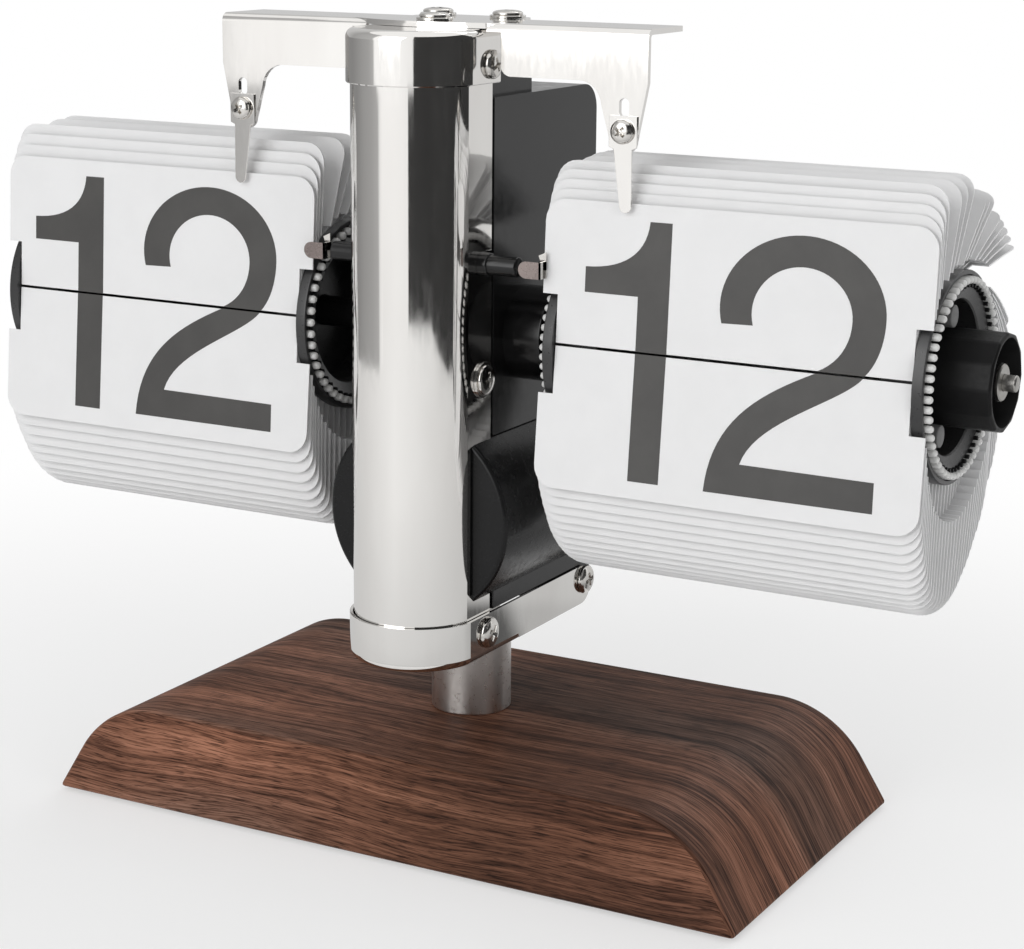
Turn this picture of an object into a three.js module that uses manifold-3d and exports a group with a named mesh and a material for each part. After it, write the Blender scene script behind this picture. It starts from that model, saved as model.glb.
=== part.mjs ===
// Split-leaf flip clock on a wooden base, in millimetres.
// X runs along the drums, Y to the rear, Z up. The origin is under the middle of the base.
// Two drums of printed leaves turn on one shaft, each side of a polished sheet-metal column.

import * as THREE from 'three';
import { mergeVertices } from 'three/addons/utils/BufferGeometryUtils.js';
import Module from 'manifold-3d';

const wasm = await Module();
wasm.setup();

// Gaps and overruns
const seatGap = 0.05;
const fitGap = 0.25;
const runGap = 0.3;
const overrun = 1;

// Wooden base and its pad
const baseLength = 150;
const baseDepth = 76.5;
const baseHeight = 19.6;
const baseEndLean = 11.5;
const baseSideLean = 1.85;
const baseEndRound = 21;
const baseFootRound = 1.2;
const padThickness = 0.8;
const padInset = 3;

// Post and its bolt
const postRadius = 7.9;
const postHeight = 16.2;
const boltRadius = 2.9;
const boltHeadRadius = 6;
const boltHeadHeight = 4;
const nutRadius = 5.6;
const nutHeight = 4;
const boltTail = 0.8;

// Sheet-metal column
const sheet = 0.6;
const columnHalfWidth = 12.1;
const columnCornerY = -22.9;
const columnBulge = 9.9;
const columnFlangeRearY = -14.2;
const sleeveGap = 0.2;
const shellFootGap = 0.9;
const shellTopGap = 2.6;
const bandHeight = 8.7;
const bandRound = 1.1;
const shoeRearY = 26.5;
const shoePlateRearY = -2.8;
const shoeTongueHalf = 9;
const shoeTongueRearY = 9;
const capEarRearY = -12.7;
const capScrewDrop = 6.35;

// Arm bracket over both drums
const armSheet = 1;
const armReach = 45;
const armWebY = -17.8;
const armWebGap = 2.8;
const armWebDrop = 8.25;
const armFlangeRearY = -4;
const armFlangeRound = 3;
const armFlangeLap = 0.5;
const armFlangeBulge = 2.6;
const armLegTaper = 2.1;
const armLegWidth = 5.1;
const armLegFlare = 1.8;
const armLegDrop = 20.55;
const armLegRound = 2;
const armFilletRound = 4.5;
const armSlotInset = 2.4;
const armSlotRise = 4.1;
const armSlotWidth = 2;
const armSlotLength = 3.2;

// Leaf-holding fingers
const fingerSheet = 0.3;
const fingerTabWidth = 5.5;
const fingerScrewRise = 3.8;
const fingerRootWidth = 3.6;
const fingerTipWidth = 2.4;
const fingerDrift = 0.7;
const fingerReach = 14.3;

// Screws
const screwShankRadius = 1.25;
const smallHeadRadius = 2.65;
const largeHeadRadius = 3.4;
const footHeadRadius = 3;
const fingerHeadRadius = 2.2;
const headHeight = 1.4;
const washerHeight = 0.6;
const sideScrewLength = 5.5;
const topScrewLength = 7;
const fingerScrewLength = 3;
const capScrewY = -16.2;
const shellScrewY = -17.4;
const shellScrewRise = 7.6;
const footScrewFrontY = -16.4;
const footScrewFrontRise = 5.1;
const footScrewRearY = 23.5;
const footScrewRearRise = 5.7;
const topScrewFrontY = -14.5;
const topScrewRearY = -0.5;
const topScrewRearX = 7.5;

// Movement case
const caseFrontY = -13.5;
const caseRearY = 27.6;
const caseFootGap = 0.9;
const caseSeamDrop = 4;
const caseRise = 45.12;
const capRise = 12.55;
const caseWall = 1.4;
const caseRearRound = 5;
const lugSideGap = 1.1;
const lugFrontY = -20.6;
const topLugRearY = 4;
const shellLugHeight = 9;
const rodLugHeight = 8;
const bossRadius = 9;
const bossGap = 4.96;
const bearingRadius = 5;
const bearingGap = 1.56;

// Battery barrel
const barrelWall = 2.05;
const barrelFootGap = 7.9;
const barrelFrontY = -21.2;
const barrelFrontWall = 1.3;
const batteryRadius = 17.1;
const batteryBody = 60;
const batteryNubRadius = 4.7;
const batteryNubHeight = 1.5;
const contactRadius = 7;
const contactSheet = 0.4;
const springHeight = 2.4;
const springTopRadius = 4;
const springWire = 0.9;
const coverThickness = 2.6;
const coverSkirt = 1.6;
const coverSkirtWall = 0.9;
const footLugGap = 1.6;
const footLugRearLength = 9.6;

// Shaft, sleeve and drums
const axisY = -0.96;
const shaftRadius = 1.5;
const shaftTip = 2;
const shaftTail = 2.41;
const sleeveRadius = 3;
const sleeveBoreGap = 0.2;
const leafInnerX = 24.96;
const leafWidth = 74;
const leafHeight = 26.1;
const leafThickness = 0.3;
const leafCorner = 4;
const leafNotchDepth = 3;
const leafNotchHeight = 8.8;
const leafRootInset = 0.65;
const pinCircleRadius = 17.19;
const frontLeafOffset = 0.5;
const packLeafOffset = 0.15;
const rootBandInnerRadius = 16.3;
const rootBandOuterRadius = 17.3;
const flangeRadius = 18.9;
const flangeThickness = 2;
const flangeEdgeInset = 0.77;
const windowRadius = 13.7;
const cupRadius = 15;
const cupDepth = 8;
const cupFloor = 1.2;
const lugRadius = 2.3;
const knobRadius = 8.92;
const knobStand = 8.51;
const knobRim = 0.7;
const knobDish = 6;
const knobBossRadius = 3.4;
const knobBossDrop = 1.1;
const washerRadius = 3.35;
const clipThickness = 0.7;

// Gear train
const gearCentre = 12;
const gearFloorGap = 2.3;
const coarseWheelTeeth = 32;
const coarsePinionTeeth = 8;
const fineWheelTeeth = 48;
const finePinionTeeth = 8;
const gearWidth = 2;
const gearBoreGap = 0.1;
const minuteWheelX = 6.2;
const minutePinionX = 3;
const idlerWheelX = 3.4;
const hourWheelX = -6;
const idlerPinRadius = 0.7;
const idlerBossWall = 0.9;
const motorRadius = 7;
const motorRearX = -3.2;
const motorFrontX = 5;
const motorShaftRadius = 0.8;
const motorShaftTail = 3;
const boardThickness = 1.4;
const boardHeight = 26;
const boardTopGap = 4.5;
const boardPartHeight = 1.6;
const boardPartSize = 6;
const boardHalfWidth = 9;

// Catch rods and catches
const rodRadius = 1.85;
const rodY = -18;
const rodRise = 15.22;
const rodRootX = 7;
const rodCatchLap = 0.6;
const catchSheet = 0.3;
const catchHeight = 3.1;
const catchLeafLap = 0.74;
const catchTabLength = 4.5;
const catchFootLength = 1.9;
const catchReturn = 2;
const catchProng = 1.7;
const hourCatchShift = 3.62;

// Angles, in degrees, and counts
const idlerDegrees = 78;
const motorDegrees = -20;
const splitDegrees = 6.4;
const lugDegrees = 42;
const halfTurnDegrees = 180;
const fullTurnDegrees = 360;
const minuteLeafCount = 60;
const hourLeafCount = 48;
const upperMinuteCount = 15;
const upperHourCount = 12;
const knobFacetCount = 12;
const roundSides = 24;
const fineSides = 32;
const screwSides = 10;
const hexSides = 6;
const arcSteps = 2;

// How far a leaf leans back from upright, for the bearing of its pin above the front
const leafLeanDegrees = [
  [9, 4], [33, 6], [39, 18], [52, 25], [57, 44], [69, 53], [84, 70], [101, 82],
  [105, 101], [150, 147], [170, 168], [183, 180],
  [333, 180], [345, 181.5], [357, 184], [364, 186.2],
];

// A rim's round in three steps, as shares of its size: depth under the face, and inset
const roundShares = [[1, 0], [0.4, 0.25], [0, 0.7]];

// Shares of a gear's tooth pitch and module, and of a screw head's radius
const toothRootShare = 0.3;
const toothTipShare = 0.12;
const domeShare = 0.6;
const addendumShare = 0.8;
const dedendumShare = 1;

// Sizes that follow
const half = 0.5;
const baseTopZ = padThickness + baseHeight;
const shoeBottomZ = baseTopZ + postHeight;
const shoeTopZ = shoeBottomZ + bandHeight;
const shoeGrowth = sleeveGap + sheet;
const screwHoleRadius = screwShankRadius + fitGap;
const earOuterX = columnHalfWidth + shoeGrowth;
const boreRadius = batteryRadius + fitGap;
const barrelRadius = boreRadius + barrelWall;
const batteryFrontY = barrelFrontY + barrelFrontWall + contactSheet + seatGap * 2;
const batteryRearY = batteryFrontY + batteryNubHeight + batteryBody;
const barrelRearY = batteryRearY + springHeight;
const flangeOuterX = leafInnerX + leafWidth - flangeEdgeInset;
const flangeInnerX = leafInnerX + flangeEdgeInset;
const coarseModule = 2 * gearCentre / (coarseWheelTeeth + coarsePinionTeeth);
const fineModule = 2 * gearCentre / (fineWheelTeeth + finePinionTeeth);
const wheelTipRadius = (coarseWheelTeeth * half + addendumShare) * coarseModule;

// Heights, stacked from the shoe over the barrel and the gears to the cap
const barrelZ = shoeBottomZ + barrelFootGap + barrelRadius;
const footLugBottomZ = shoeBottomZ + footLugGap;
const footScrewFrontZ = shoeBottomZ + footScrewFrontRise;
const footScrewRearZ = shoeBottomZ + footScrewRearRise;
const caseBottomZ = shoeTopZ + caseFootGap;
const caseSeamZ = barrelZ + barrelRadius - caseSeamDrop;
const shellScrewZ = barrelZ + barrelRadius + shellScrewRise;
const axisZ = barrelZ + barrelRadius + runGap + caseWall + wheelTipRadius + gearFloorGap;
const rodZ = axisZ + rodRise;
const caseTopZ = axisZ + caseRise;
const boardTopZ = caseTopZ - boardTopGap;
const boardBottomZ = boardTopZ - boardHeight;
const capTopZ = caseTopZ + capRise;
const capBottomZ = capTopZ - bandHeight - bandRound;
const capScrewZ = capTopZ - capScrewDrop;
const armWebBottomZ = capTopZ - armWebDrop;
const armLegBottomZ = capTopZ - armLegDrop;
const fingerScrewZ = armLegBottomZ + fingerScrewRise;
const armSlotZ = fingerScrewZ + armSlotRise;
const fingerTipZ = fingerScrewZ - fingerReach;

// Places along the drums
const caseHalfWidth = columnHalfWidth;
const lugHalfWidth = columnHalfWidth - sheet - lugSideGap;
const armWebInnerX = earOuterX + armWebGap;
const armFlangeHalf = columnHalfWidth + armFlangeLap;
const armLegOuterX = armReach - armLegTaper;
const armLegInnerX = armLegOuterX - armLegWidth;
const armLegInnerTopX = armLegInnerX - armLegFlare;
const armSlotX = armLegOuterX - armSlotInset;
const fingerTipX = armSlotX + fingerDrift;
const bossEndX = leafInnerX - bossGap;
const bearingEndX = leafInnerX - bearingGap;
const catchTabX = leafInnerX + catchLeafLap - catchTabLength - catchFootLength;
const catchPitch = 2 * leafInnerX - hourCatchShift;
const rodEndX = catchTabX + rodCatchLap;
const knobFaceX = flangeOuterX + knobStand;
const shaftTipX = knobFaceX + shaftTip;
const shaftTailX = -flangeOuterX - shaftTail;

const radians = (degrees) => THREE.MathUtils.degToRad(degrees);

// Solids and booleans

function toSolid(geometry) {
  const bare = geometry.clone();
  bare.deleteAttribute('normal');
  bare.deleteAttribute('uv');
  const merged = mergeVertices(bare);
  const index = merged.index.array;
  const points = merged.attributes.position.array;
  const corner = (i) => new THREE.Vector3().fromArray(points, 3 * i);
  const faces = [];
  let volume = 0;
  for (let i = 0; i < index.length; i += 3) {
    const [a, b, c] = [index[i], index[i + 1], index[i + 2]];
    if (a === b || b === c || c === a) {
      continue;
    }
    faces.push([a, b, c]);
    volume += corner(a).dot(corner(b).cross(corner(c)));
  }
  const outward = volume > 0 ? faces : faces.map(([a, b, c]) => [a, c, b]);
  return new wasm.Manifold(new wasm.Mesh({
    numProp: 3,
    vertProperties: Float32Array.from(points),
    triVerts: Uint32Array.from(outward.flat()),
  }));
}

function toGeometry(solid) {
  const mesh = solid.getMesh();
  const geometry = new THREE.BufferGeometry();
  geometry.setAttribute('position', new THREE.BufferAttribute(mesh.vertProperties, 3));
  geometry.setIndex(new THREE.BufferAttribute(mesh.triVerts, 1));
  geometry.computeVertexNormals();
  return geometry;
}

function join(...geometries) {
  return toGeometry(geometries.map(toSolid).reduce((sum, next) => sum.add(next)));
}

function cut(body, ...tools) {
  return toGeometry(tools.map(toSolid).reduce((rest, tool) => rest.subtract(tool), toSolid(body)));
}

function common(body, tool) {
  return toGeometry(toSolid(body).intersect(toSolid(tool)));
}

// Basic forms

function block(x0, x1, y0, y1, z0, z1) {
  const box = new THREE.BoxGeometry(x1 - x0, y1 - y0, z1 - z0);
  return box.translate((x0 + x1) * half, (y0 + y1) * half, (z0 + z1) * half);
}

function cylinder(axis, radius, from, to, u, v, sides = roundSides) {
  const form = new THREE.CylinderGeometry(radius, radius, to - from, sides);
  const middle = (from + to) * half;
  if (axis === 'X') {
    return form.rotateZ(-Math.PI * half).translate(middle, u, v);
  }
  if (axis === 'Y') {
    return form.translate(u, middle, v);
  }
  return form.rotateX(Math.PI * half).translate(u, v, middle);
}

// An outline drawn in the plane square to the axis, in XYZ order, and drawn out along it
function prism(axis, shape, from, to, steps = arcSteps) {
  const options = { depth: to - from, bevelEnabled: false, curveSegments: steps };
  const form = new THREE.ExtrudeGeometry(shape, options);
  const [x, y, z] = [[1, 0, 0], [0, 1, 0], [0, 0, 1]].map((v) => new THREE.Vector3(...v));
  if (axis === 'X') {
    return form.applyMatrix4(new THREE.Matrix4().makeBasis(y, z, x)).translate(from, 0, 0);
  }
  if (axis === 'Y') {
    const turned = form.applyMatrix4(new THREE.Matrix4().makeBasis(x, z, y.clone().negate()));
    return turned.translate(0, to, 0);
  }
  return form.translate(0, 0, from);
}

function polygon(points) {
  return new THREE.Shape(points.map(([u, v]) => new THREE.Vector2(u, v)));
}

function roundedBox(u0, u1, v0, v1, radius) {
  const shape = new THREE.Shape();
  const right = Math.PI * half;
  shape.moveTo(u0 + radius, v0);
  shape.lineTo(u1 - radius, v0);
  shape.absarc(u1 - radius, v0 + radius, radius, -right, 0, false);
  shape.lineTo(u1, v1 - radius);
  shape.absarc(u1 - radius, v1 - radius, radius, 0, right, false);
  shape.lineTo(u0 + radius, v1);
  shape.absarc(u0 + radius, v1 - radius, radius, right, 2 * right, false);
  shape.lineTo(u0, v0 + radius);
  shape.absarc(u0 + radius, v0 + radius, radius, 2 * right, 3 * right, false);
  return shape;
}

// A closed profile of [X, radius] points, turned about an axis along X
function turned(profile, sides = roundSides) {
  const points = [...profile, profile[0]].map(([x, r]) => new THREE.Vector2(r, x));
  return new THREE.LatheGeometry(points, sides).rotateZ(-Math.PI * half);
}

// Assembly

const group = new THREE.Group();
group.name = 'flip_clock';

const finishes = {
  wood: { color: 0x5f3c32, roughness: 0.55, metalness: 0 },
  pad: { color: 0x26221f, roughness: 0.95, metalness: 0 },
  steel: { color: 0xd9d5cf, roughness: 0.12, metalness: 1 },
  post: { color: 0xb9b2ac, roughness: 0.3, metalness: 1 },
  plastic: { color: 0x141414, roughness: 0.25, metalness: 0 },
  gear: { color: 0xe6e2d6, roughness: 0.5, metalness: 0 },
  leaf: { color: 0xe7e7e7, roughness: 0.6, metalness: 0 },
  catch: { color: 0x8a6a5c, roughness: 0.35, metalness: 1 },
  brass: { color: 0xc9a55a, roughness: 0.35, metalness: 1 },
  board: { color: 0x2f6b3c, roughness: 0.6, metalness: 0 },
  cell: { color: 0x4a4f57, roughness: 0.4, metalness: 0.3 },
};

function addTo(parent, name, geometry, finish) {
  const mesh = new THREE.Mesh(toGeometry(toSolid(geometry)), new THREE.MeshStandardMaterial(finishes[finish]));
  mesh.name = name;
  parent.add(mesh);
  return mesh;
}

function add(name, geometry, finish) {
  return addTo(group, name, geometry, finish);
}

// Wooden base: leaning faces, and broad rounds where the ends meet the top

function baseEndShape() {
  const shape = new THREE.Shape();
  const endX = baseLength * half;
  const lean = Math.atan2(baseEndLean, baseHeight);
  const turn = Math.PI * half - lean;
  const tangent = baseEndRound * Math.tan(turn * half);
  const cornerX = endX - baseEndLean;
  shape.moveTo(-endX, padThickness);
  shape.lineTo(endX, padThickness);
  shape.lineTo(cornerX + tangent * Math.sin(lean), baseTopZ - tangent * Math.cos(lean));
  shape.absarc(cornerX - tangent, baseTopZ - baseEndRound, baseEndRound, lean, Math.PI * half, false);
  shape.lineTo(tangent - cornerX, baseTopZ);
  shape.absarc(tangent - cornerX, baseTopZ - baseEndRound, baseEndRound, Math.PI * half, Math.PI - lean, false);
  return shape;
}

function makeBase() {
  const sideY = baseDepth * half;
  const topY = sideY - baseSideLean;
  const ends = prism('Y', baseEndShape(), -sideY, sideY, 3 * arcSteps);
  const sides = prism('X', polygon([
    [-sideY + baseFootRound, padThickness], [sideY - baseFootRound, padThickness],
    [sideY, padThickness + baseFootRound], [topY, baseTopZ - baseFootRound],
    [topY - baseFootRound, baseTopZ], [-topY + baseFootRound, baseTopZ],
    [-topY, baseTopZ - baseFootRound], [-sideY, padThickness + baseFootRound],
  ]), -baseLength, baseLength);
  const bore = cylinder('Z', boltRadius + fitGap, -overrun, baseTopZ + overrun, 0, 0);
  const sunkTop = padThickness + boltHeadHeight + fitGap;
  const sunk = cylinder('Z', boltHeadRadius + fitGap, -overrun, sunkTop, 0, 0);
  add('wood_base', cut(common(ends, sides), bore, sunk), 'wood');
  const padX = baseLength * half - padInset;
  const padY = sideY - padInset;
  add('base_pad', block(-padX, padX, -padY, padY, 0, padThickness - seatGap), 'pad');
}

// Post: a turned tube, clamped between base and shoe by one bolt

function makePost() {
  const bottom = baseTopZ + seatGap;
  const tube = cylinder('Z', postRadius, bottom, shoeBottomZ - seatGap, 0, 0, fineSides);
  const bore = cylinder('Z', boltRadius + fitGap, bottom - overrun, shoeBottomZ + overrun, 0, 0);
  add('post', cut(tube, bore), 'post');
  const nutBottom = shoeBottomZ + sheet + seatGap;
  const headBottom = padThickness + seatGap;
  const head = cylinder('Z', boltHeadRadius, headBottom, headBottom + boltHeadHeight, 0, 0);
  const shankTop = nutBottom + nutHeight + boltTail;
  const shank = cylinder('Z', boltRadius, headBottom + boltHeadHeight * half, shankTop, 0, 0);
  add('post_bolt', join(head, shank), 'post');
  const nut = cylinder('Z', nutRadius, nutBottom, nutBottom + nutHeight, 0, 0, hexSides);
  const thread = cylinder('Z', boltRadius + seatGap, nutBottom - overrun, shankTop + overrun, 0, 0);
  add('post_nut', cut(nut, thread), 'steel');
}

// Column outline in plan: a half ellipse in front and straight sides, grown outwards

function columnPlan(growth, rearY) {
  const shape = new THREE.Shape();
  const halfWidth = columnHalfWidth + growth;
  shape.moveTo(halfWidth, rearY);
  shape.lineTo(-halfWidth, rearY);
  shape.lineTo(-halfWidth, columnCornerY);
  shape.absellipse(0, columnCornerY, halfWidth, columnBulge + growth, Math.PI, 2 * Math.PI, false);
  return shape;
}

function columnSolid(growth, rearY, z0, z1) {
  return prism('Z', columnPlan(growth, rearY), z0, z1, 5 * arcSteps);
}

// The same outline with its lower or upper rim rounded off by two chamfered layers
function columnRounded(growth, rearY, flatZ, roundZ, round) {
  const way = Math.sign(roundZ - flatZ);
  const layers = roundShares.map(([depthShare, insetShare]) => {
    const z = roundZ - way * round * depthShare;
    return columnSolid(growth - round * insetShare, rearY, Math.min(flatZ, z), Math.max(flatZ, z));
  });
  return join(...layers);
}

function sideHoles(y, z, radius = screwHoleRadius) {
  return cylinder('X', radius, -leafInnerX, leafInnerX, y, z, screwSides);
}

function makeShell() {
  const bottom = shoeBottomZ + sheet + shellFootGap;
  const top = capTopZ - sheet - shellTopGap;
  const outer = columnSolid(0, columnFlangeRearY, bottom, top);
  const inner = columnSolid(-sheet, columnFlangeRearY + overrun, bottom - overrun, top + overrun);
  const barrelCut = block(-leafInnerX, leafInnerX, barrelFrontY - runGap, 0, barrelGateBottom, barrelGateTop);
  const notch = block(-leafInnerX, leafInnerX, rodY, 0, rodZ - rodRadius - fitGap, rodZ + rodRadius + fitGap);
  add('front_shell', cut(
    outer, inner, barrelCut, notch,
    sideHoles(rodY, rodZ, rodRadius + fitGap),
    sideHoles(capScrewY, capScrewZ),
    sideHoles(shellScrewY, shellScrewZ),
    sideHoles(footScrewFrontY, footScrewFrontZ),
  ), 'steel');
}

// Shoe: a band in front, straps running back along the case, and a plate under it

function makeShoe() {
  const outer = columnRounded(shoeGrowth, shoePlateRearY, shoeTopZ, shoeBottomZ, bandRound);
  const innerRear = shoePlateRearY + overrun;
  const inner = columnSolid(sleeveGap, innerRear, shoeBottomZ + sheet, shoeTopZ + overrun);
  const strapRound = bandHeight * half;
  const profile = new THREE.Shape();
  profile.moveTo(columnCornerY, shoeBottomZ + bandRound);
  profile.lineTo(columnCornerY + bandRound, shoeBottomZ);
  profile.lineTo(shoeRearY - strapRound, shoeBottomZ);
  profile.absarc(shoeRearY - strapRound, shoeBottomZ + strapRound, strapRound,
    -Math.PI * half, Math.PI * half, false);
  profile.lineTo(columnCornerY, shoeTopZ);
  const strapInner = columnHalfWidth + sleeveGap;
  const right = prism('X', profile, strapInner, earOuterX, 2 * arcSteps);
  const left = prism('X', profile, -earOuterX, -strapInner, 2 * arcSteps);
  const tongueShape = roundedBox(-shoeTongueHalf, shoeTongueHalf,
    columnCornerY, shoeTongueRearY, shoeTongueHalf * half);
  const tongue = prism('Z', tongueShape, shoeBottomZ, shoeBottomZ + sheet);
  const bore = cylinder('Z', boltRadius + fitGap, 0, shoeTopZ, 0, 0);
  const band = join(cut(outer, inner), right, left, tongue);
  add('lower_bracket', cut(band, bore,
    sideHoles(footScrewFrontY, footScrewFrontZ),
    sideHoles(footScrewRearY, footScrewRearZ),
  ), 'steel');
}

// Cap: the same band upside down, with short ears

function makeCap() {
  const outer = columnRounded(shoeGrowth, capEarRearY, capBottomZ, capTopZ, bandRound);
  const innerTop = capTopZ - sheet;
  const inner = columnSolid(sleeveGap, capEarRearY + overrun, capBottomZ - overrun, innerTop);
  const frontBore = cylinder('Z', screwHoleRadius, capBottomZ, capTopZ + overrun, 0, topScrewFrontY, screwSides);
  add('upper_bracket', cut(outer, inner, frontBore, sideHoles(capScrewY, capScrewZ)), 'steel');
}

// Arm bracket: a top flange, and a web each side that ends in a drooping leg

const armBottomZ = capTopZ + seatGap;
const armTopZ = armBottomZ + armSheet;

function armWebShape() {
  const shape = new THREE.Shape();
  const right = Math.PI * half;
  shape.moveTo(armWebInnerX, armTopZ);
  shape.lineTo(armWebInnerX, armWebBottomZ + armLegRound);
  shape.absarc(armWebInnerX + armLegRound, armWebBottomZ + armLegRound, armLegRound,
    2 * right, 3 * right, false);
  shape.lineTo(armLegInnerTopX - armFilletRound, armWebBottomZ);
  shape.absarc(armLegInnerTopX - armFilletRound, armWebBottomZ - armFilletRound, armFilletRound,
    right, 0, true);
  shape.lineTo(armLegInnerX, armLegBottomZ + armLegRound);
  shape.absarc(armLegInnerX + armLegRound, armLegBottomZ + armLegRound, armLegRound,
    2 * right, 3 * right, false);
  shape.absarc(armLegOuterX - armLegRound, armLegBottomZ + armLegRound, armLegRound,
    3 * right, 4 * right, false);
  shape.lineTo(armReach, armWebBottomZ);
  shape.lineTo(armReach, armTopZ);
  return shape;
}

function armFlangeShape() {
  const shape = new THREE.Shape();
  const right = Math.PI * half;
  shape.moveTo(armFlangeHalf, armWebY);
  shape.lineTo(armReach, armWebY);
  shape.lineTo(armReach, armFlangeRearY - armFlangeRound);
  shape.absarc(armReach - armFlangeRound, armFlangeRearY - armFlangeRound, armFlangeRound, 0, right, false);
  shape.lineTo(-armFlangeHalf, armFlangeRearY);
  shape.lineTo(-armReach + armFlangeRound, armFlangeRearY);
  shape.absarc(-armReach + armFlangeRound, armFlangeRearY - armFlangeRound, armFlangeRound,
    right, 2 * right, false);
  shape.lineTo(-armReach, armWebY);
  shape.lineTo(-armFlangeHalf, armWebY);
  shape.absellipse(0, armWebY, armFlangeHalf, armFlangeBulge, Math.PI, 2 * Math.PI, false);
  return shape;
}

function armSlot(side) {
  const top = armSlotZ + (armSlotLength - armSlotWidth) * half;
  const low = armSlotZ - (armSlotLength - armSlotWidth) * half;
  const x = side * armSlotX;
  const radius = armSlotWidth * half;
  const ends = [top, low].map((z) => cylinder('Y', radius, armWebY - overrun, armWebY + armSheet + overrun,
    x, z, screwSides));
  const middle = block(x - radius, x + radius, armWebY - overrun, armWebY + armSheet + overrun, low, top);
  return join(...ends, middle);
}

// The rear screws stand on a tongue of the flange that runs back over the case
const armTongueRearY = topScrewRearY + largeHeadRadius + fitGap;

function makeArms() {
  const webY = armWebY + armSheet;
  const right = prism('Y', armWebShape(), armWebY, webY);
  const left = right.clone().applyMatrix4(new THREE.Matrix4().makeScale(-1, 1, 1));
  const flange = prism('Z', armFlangeShape(), armBottomZ, armTopZ, 3 * arcSteps);
  const tongueHalf = topScrewRearX + largeHeadRadius + fitGap;
  const tongueShape = roundedBox(-tongueHalf, tongueHalf, armWebY + armSheet, armTongueRearY, armLegRound);
  const tongue = prism('Z', tongueShape, armBottomZ, armTopZ);
  const topBores = topScrewPlaces().map(([x, y]) => cylinder('Z', screwHoleRadius,
    armBottomZ - overrun, armTopZ + overrun, x, y, screwSides));
  const fingerBores = [-1, 1].map((side) => cylinder('Y', screwHoleRadius,
    armWebY - overrun, webY + overrun, side * armSlotX, fingerScrewZ, screwSides));
  const body = join(right, left, flange, tongue);
  add('arm_bracket', cut(body, ...topBores, ...fingerBores, armSlot(1), armSlot(-1)), 'steel');
}

function topScrewPlaces() {
  return [[0, topScrewFrontY], [-topScrewRearX, topScrewRearY], [topScrewRearX, topScrewRearY]];
}

// Fingers: thin spring blades whose tips hold the upper leaves back

function makeFinger(name, side) {
  const shape = new THREE.Shape();
  const tabHalf = fingerTabWidth * half;
  const tabBottom = fingerScrewZ - tabHalf;
  const tipRadius = fingerTipWidth * half;
  shape.moveTo(armSlotX - tabHalf, fingerScrewZ + tabHalf);
  shape.lineTo(armSlotX - tabHalf, tabBottom);
  shape.lineTo(armSlotX - fingerRootWidth * half, tabBottom);
  shape.lineTo(fingerTipX - tipRadius, fingerTipZ + tipRadius);
  shape.absarc(fingerTipX, fingerTipZ + tipRadius, tipRadius, Math.PI, 2 * Math.PI, false);
  shape.lineTo(armSlotX + fingerRootWidth * half, tabBottom);
  shape.lineTo(armSlotX + tabHalf, tabBottom);
  shape.lineTo(armSlotX + tabHalf, fingerScrewZ + tabHalf);
  const rear = armWebY - seatGap;
  const blade = prism('Y', shape, rear - fingerSheet, rear);
  const bore = cylinder('Y', screwHoleRadius, rear - overrun, rear + overrun, armSlotX, fingerScrewZ, screwSides);
  const place = new THREE.Matrix4().makeScale(side, 1, 1);
  add(name, cut(blade, bore).applyMatrix4(place), 'steel');
}

// Screws: a domed head and a plain shank, drawn pointing along -X

function screwGeometry(headRadius, length) {
  const dome = [
    [-length, 0], [-length, screwShankRadius], [0, screwShankRadius], [0, headRadius],
    [headHeight * half, headRadius], [headHeight, headRadius * domeShare], [headHeight, 0],
  ];
  return turned(dome, screwSides);
}

function addScrew(name, headRadius, length, x, y, z, aim) {
  const mesh = add(name, screwGeometry(headRadius, length), 'steel');
  mesh.position.set(x, y, z);
  if (aim === '-X') {
    mesh.rotation.z = Math.PI;
  }
  if (aim === '+Z') {
    mesh.rotation.y = -Math.PI * half;
  }
  if (aim === '-Y') {
    mesh.rotation.z = -Math.PI * half;
  }
}

function makeScrews() {
  const earFace = earOuterX + seatGap;
  const shellFace = columnHalfWidth + seatGap;
  for (const [side, word, aim] of [[-1, 'left', '-X'], [1, 'right', '+X']]) {
    addScrew(`cap_screw_${word}`, smallHeadRadius, sideScrewLength, side * earFace, capScrewY, capScrewZ, aim);
    addScrew(`shell_screw_${word}`, largeHeadRadius, sideScrewLength,
      side * shellFace, shellScrewY, shellScrewZ, aim);
    addScrew(`foot_screw_front_${word}`, footHeadRadius, sideScrewLength,
      side * earFace, footScrewFrontY, footScrewFrontZ, aim);
    addScrew(`foot_screw_rear_${word}`, footHeadRadius, sideScrewLength,
      side * earFace, footScrewRearY, footScrewRearZ, aim);
  }
  const topNames = ['arm_screw_front', 'arm_screw_left', 'arm_screw_right'];
  topScrewPlaces().forEach(([x, y], i) => {
    addScrew(topNames[i], largeHeadRadius, topScrewLength, x, y, armTopZ + seatGap, '+Z');
  });
  const fingerFace = armWebY - 2 * seatGap - fingerSheet;
  addScrew('minute_finger_screw', fingerHeadRadius, fingerScrewLength, armSlotX, fingerFace, fingerScrewZ, '-Y');
  addScrew('hour_finger_screw', fingerHeadRadius, fingerScrewLength, -armSlotX, fingerFace, fingerScrewZ, '-Y');
}

// Battery housing: a barrel along Y through a block that stands between the shoe's straps

const barrelGateHalf = Math.sqrt(barrelRadius ** 2 - (columnHalfWidth + sheet) ** 2) - sheet;
const barrelGateBottom = barrelZ - barrelGateHalf;
const barrelGateTop = barrelZ + barrelGateHalf;
const lugBore = screwShankRadius + fitGap;

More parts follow.
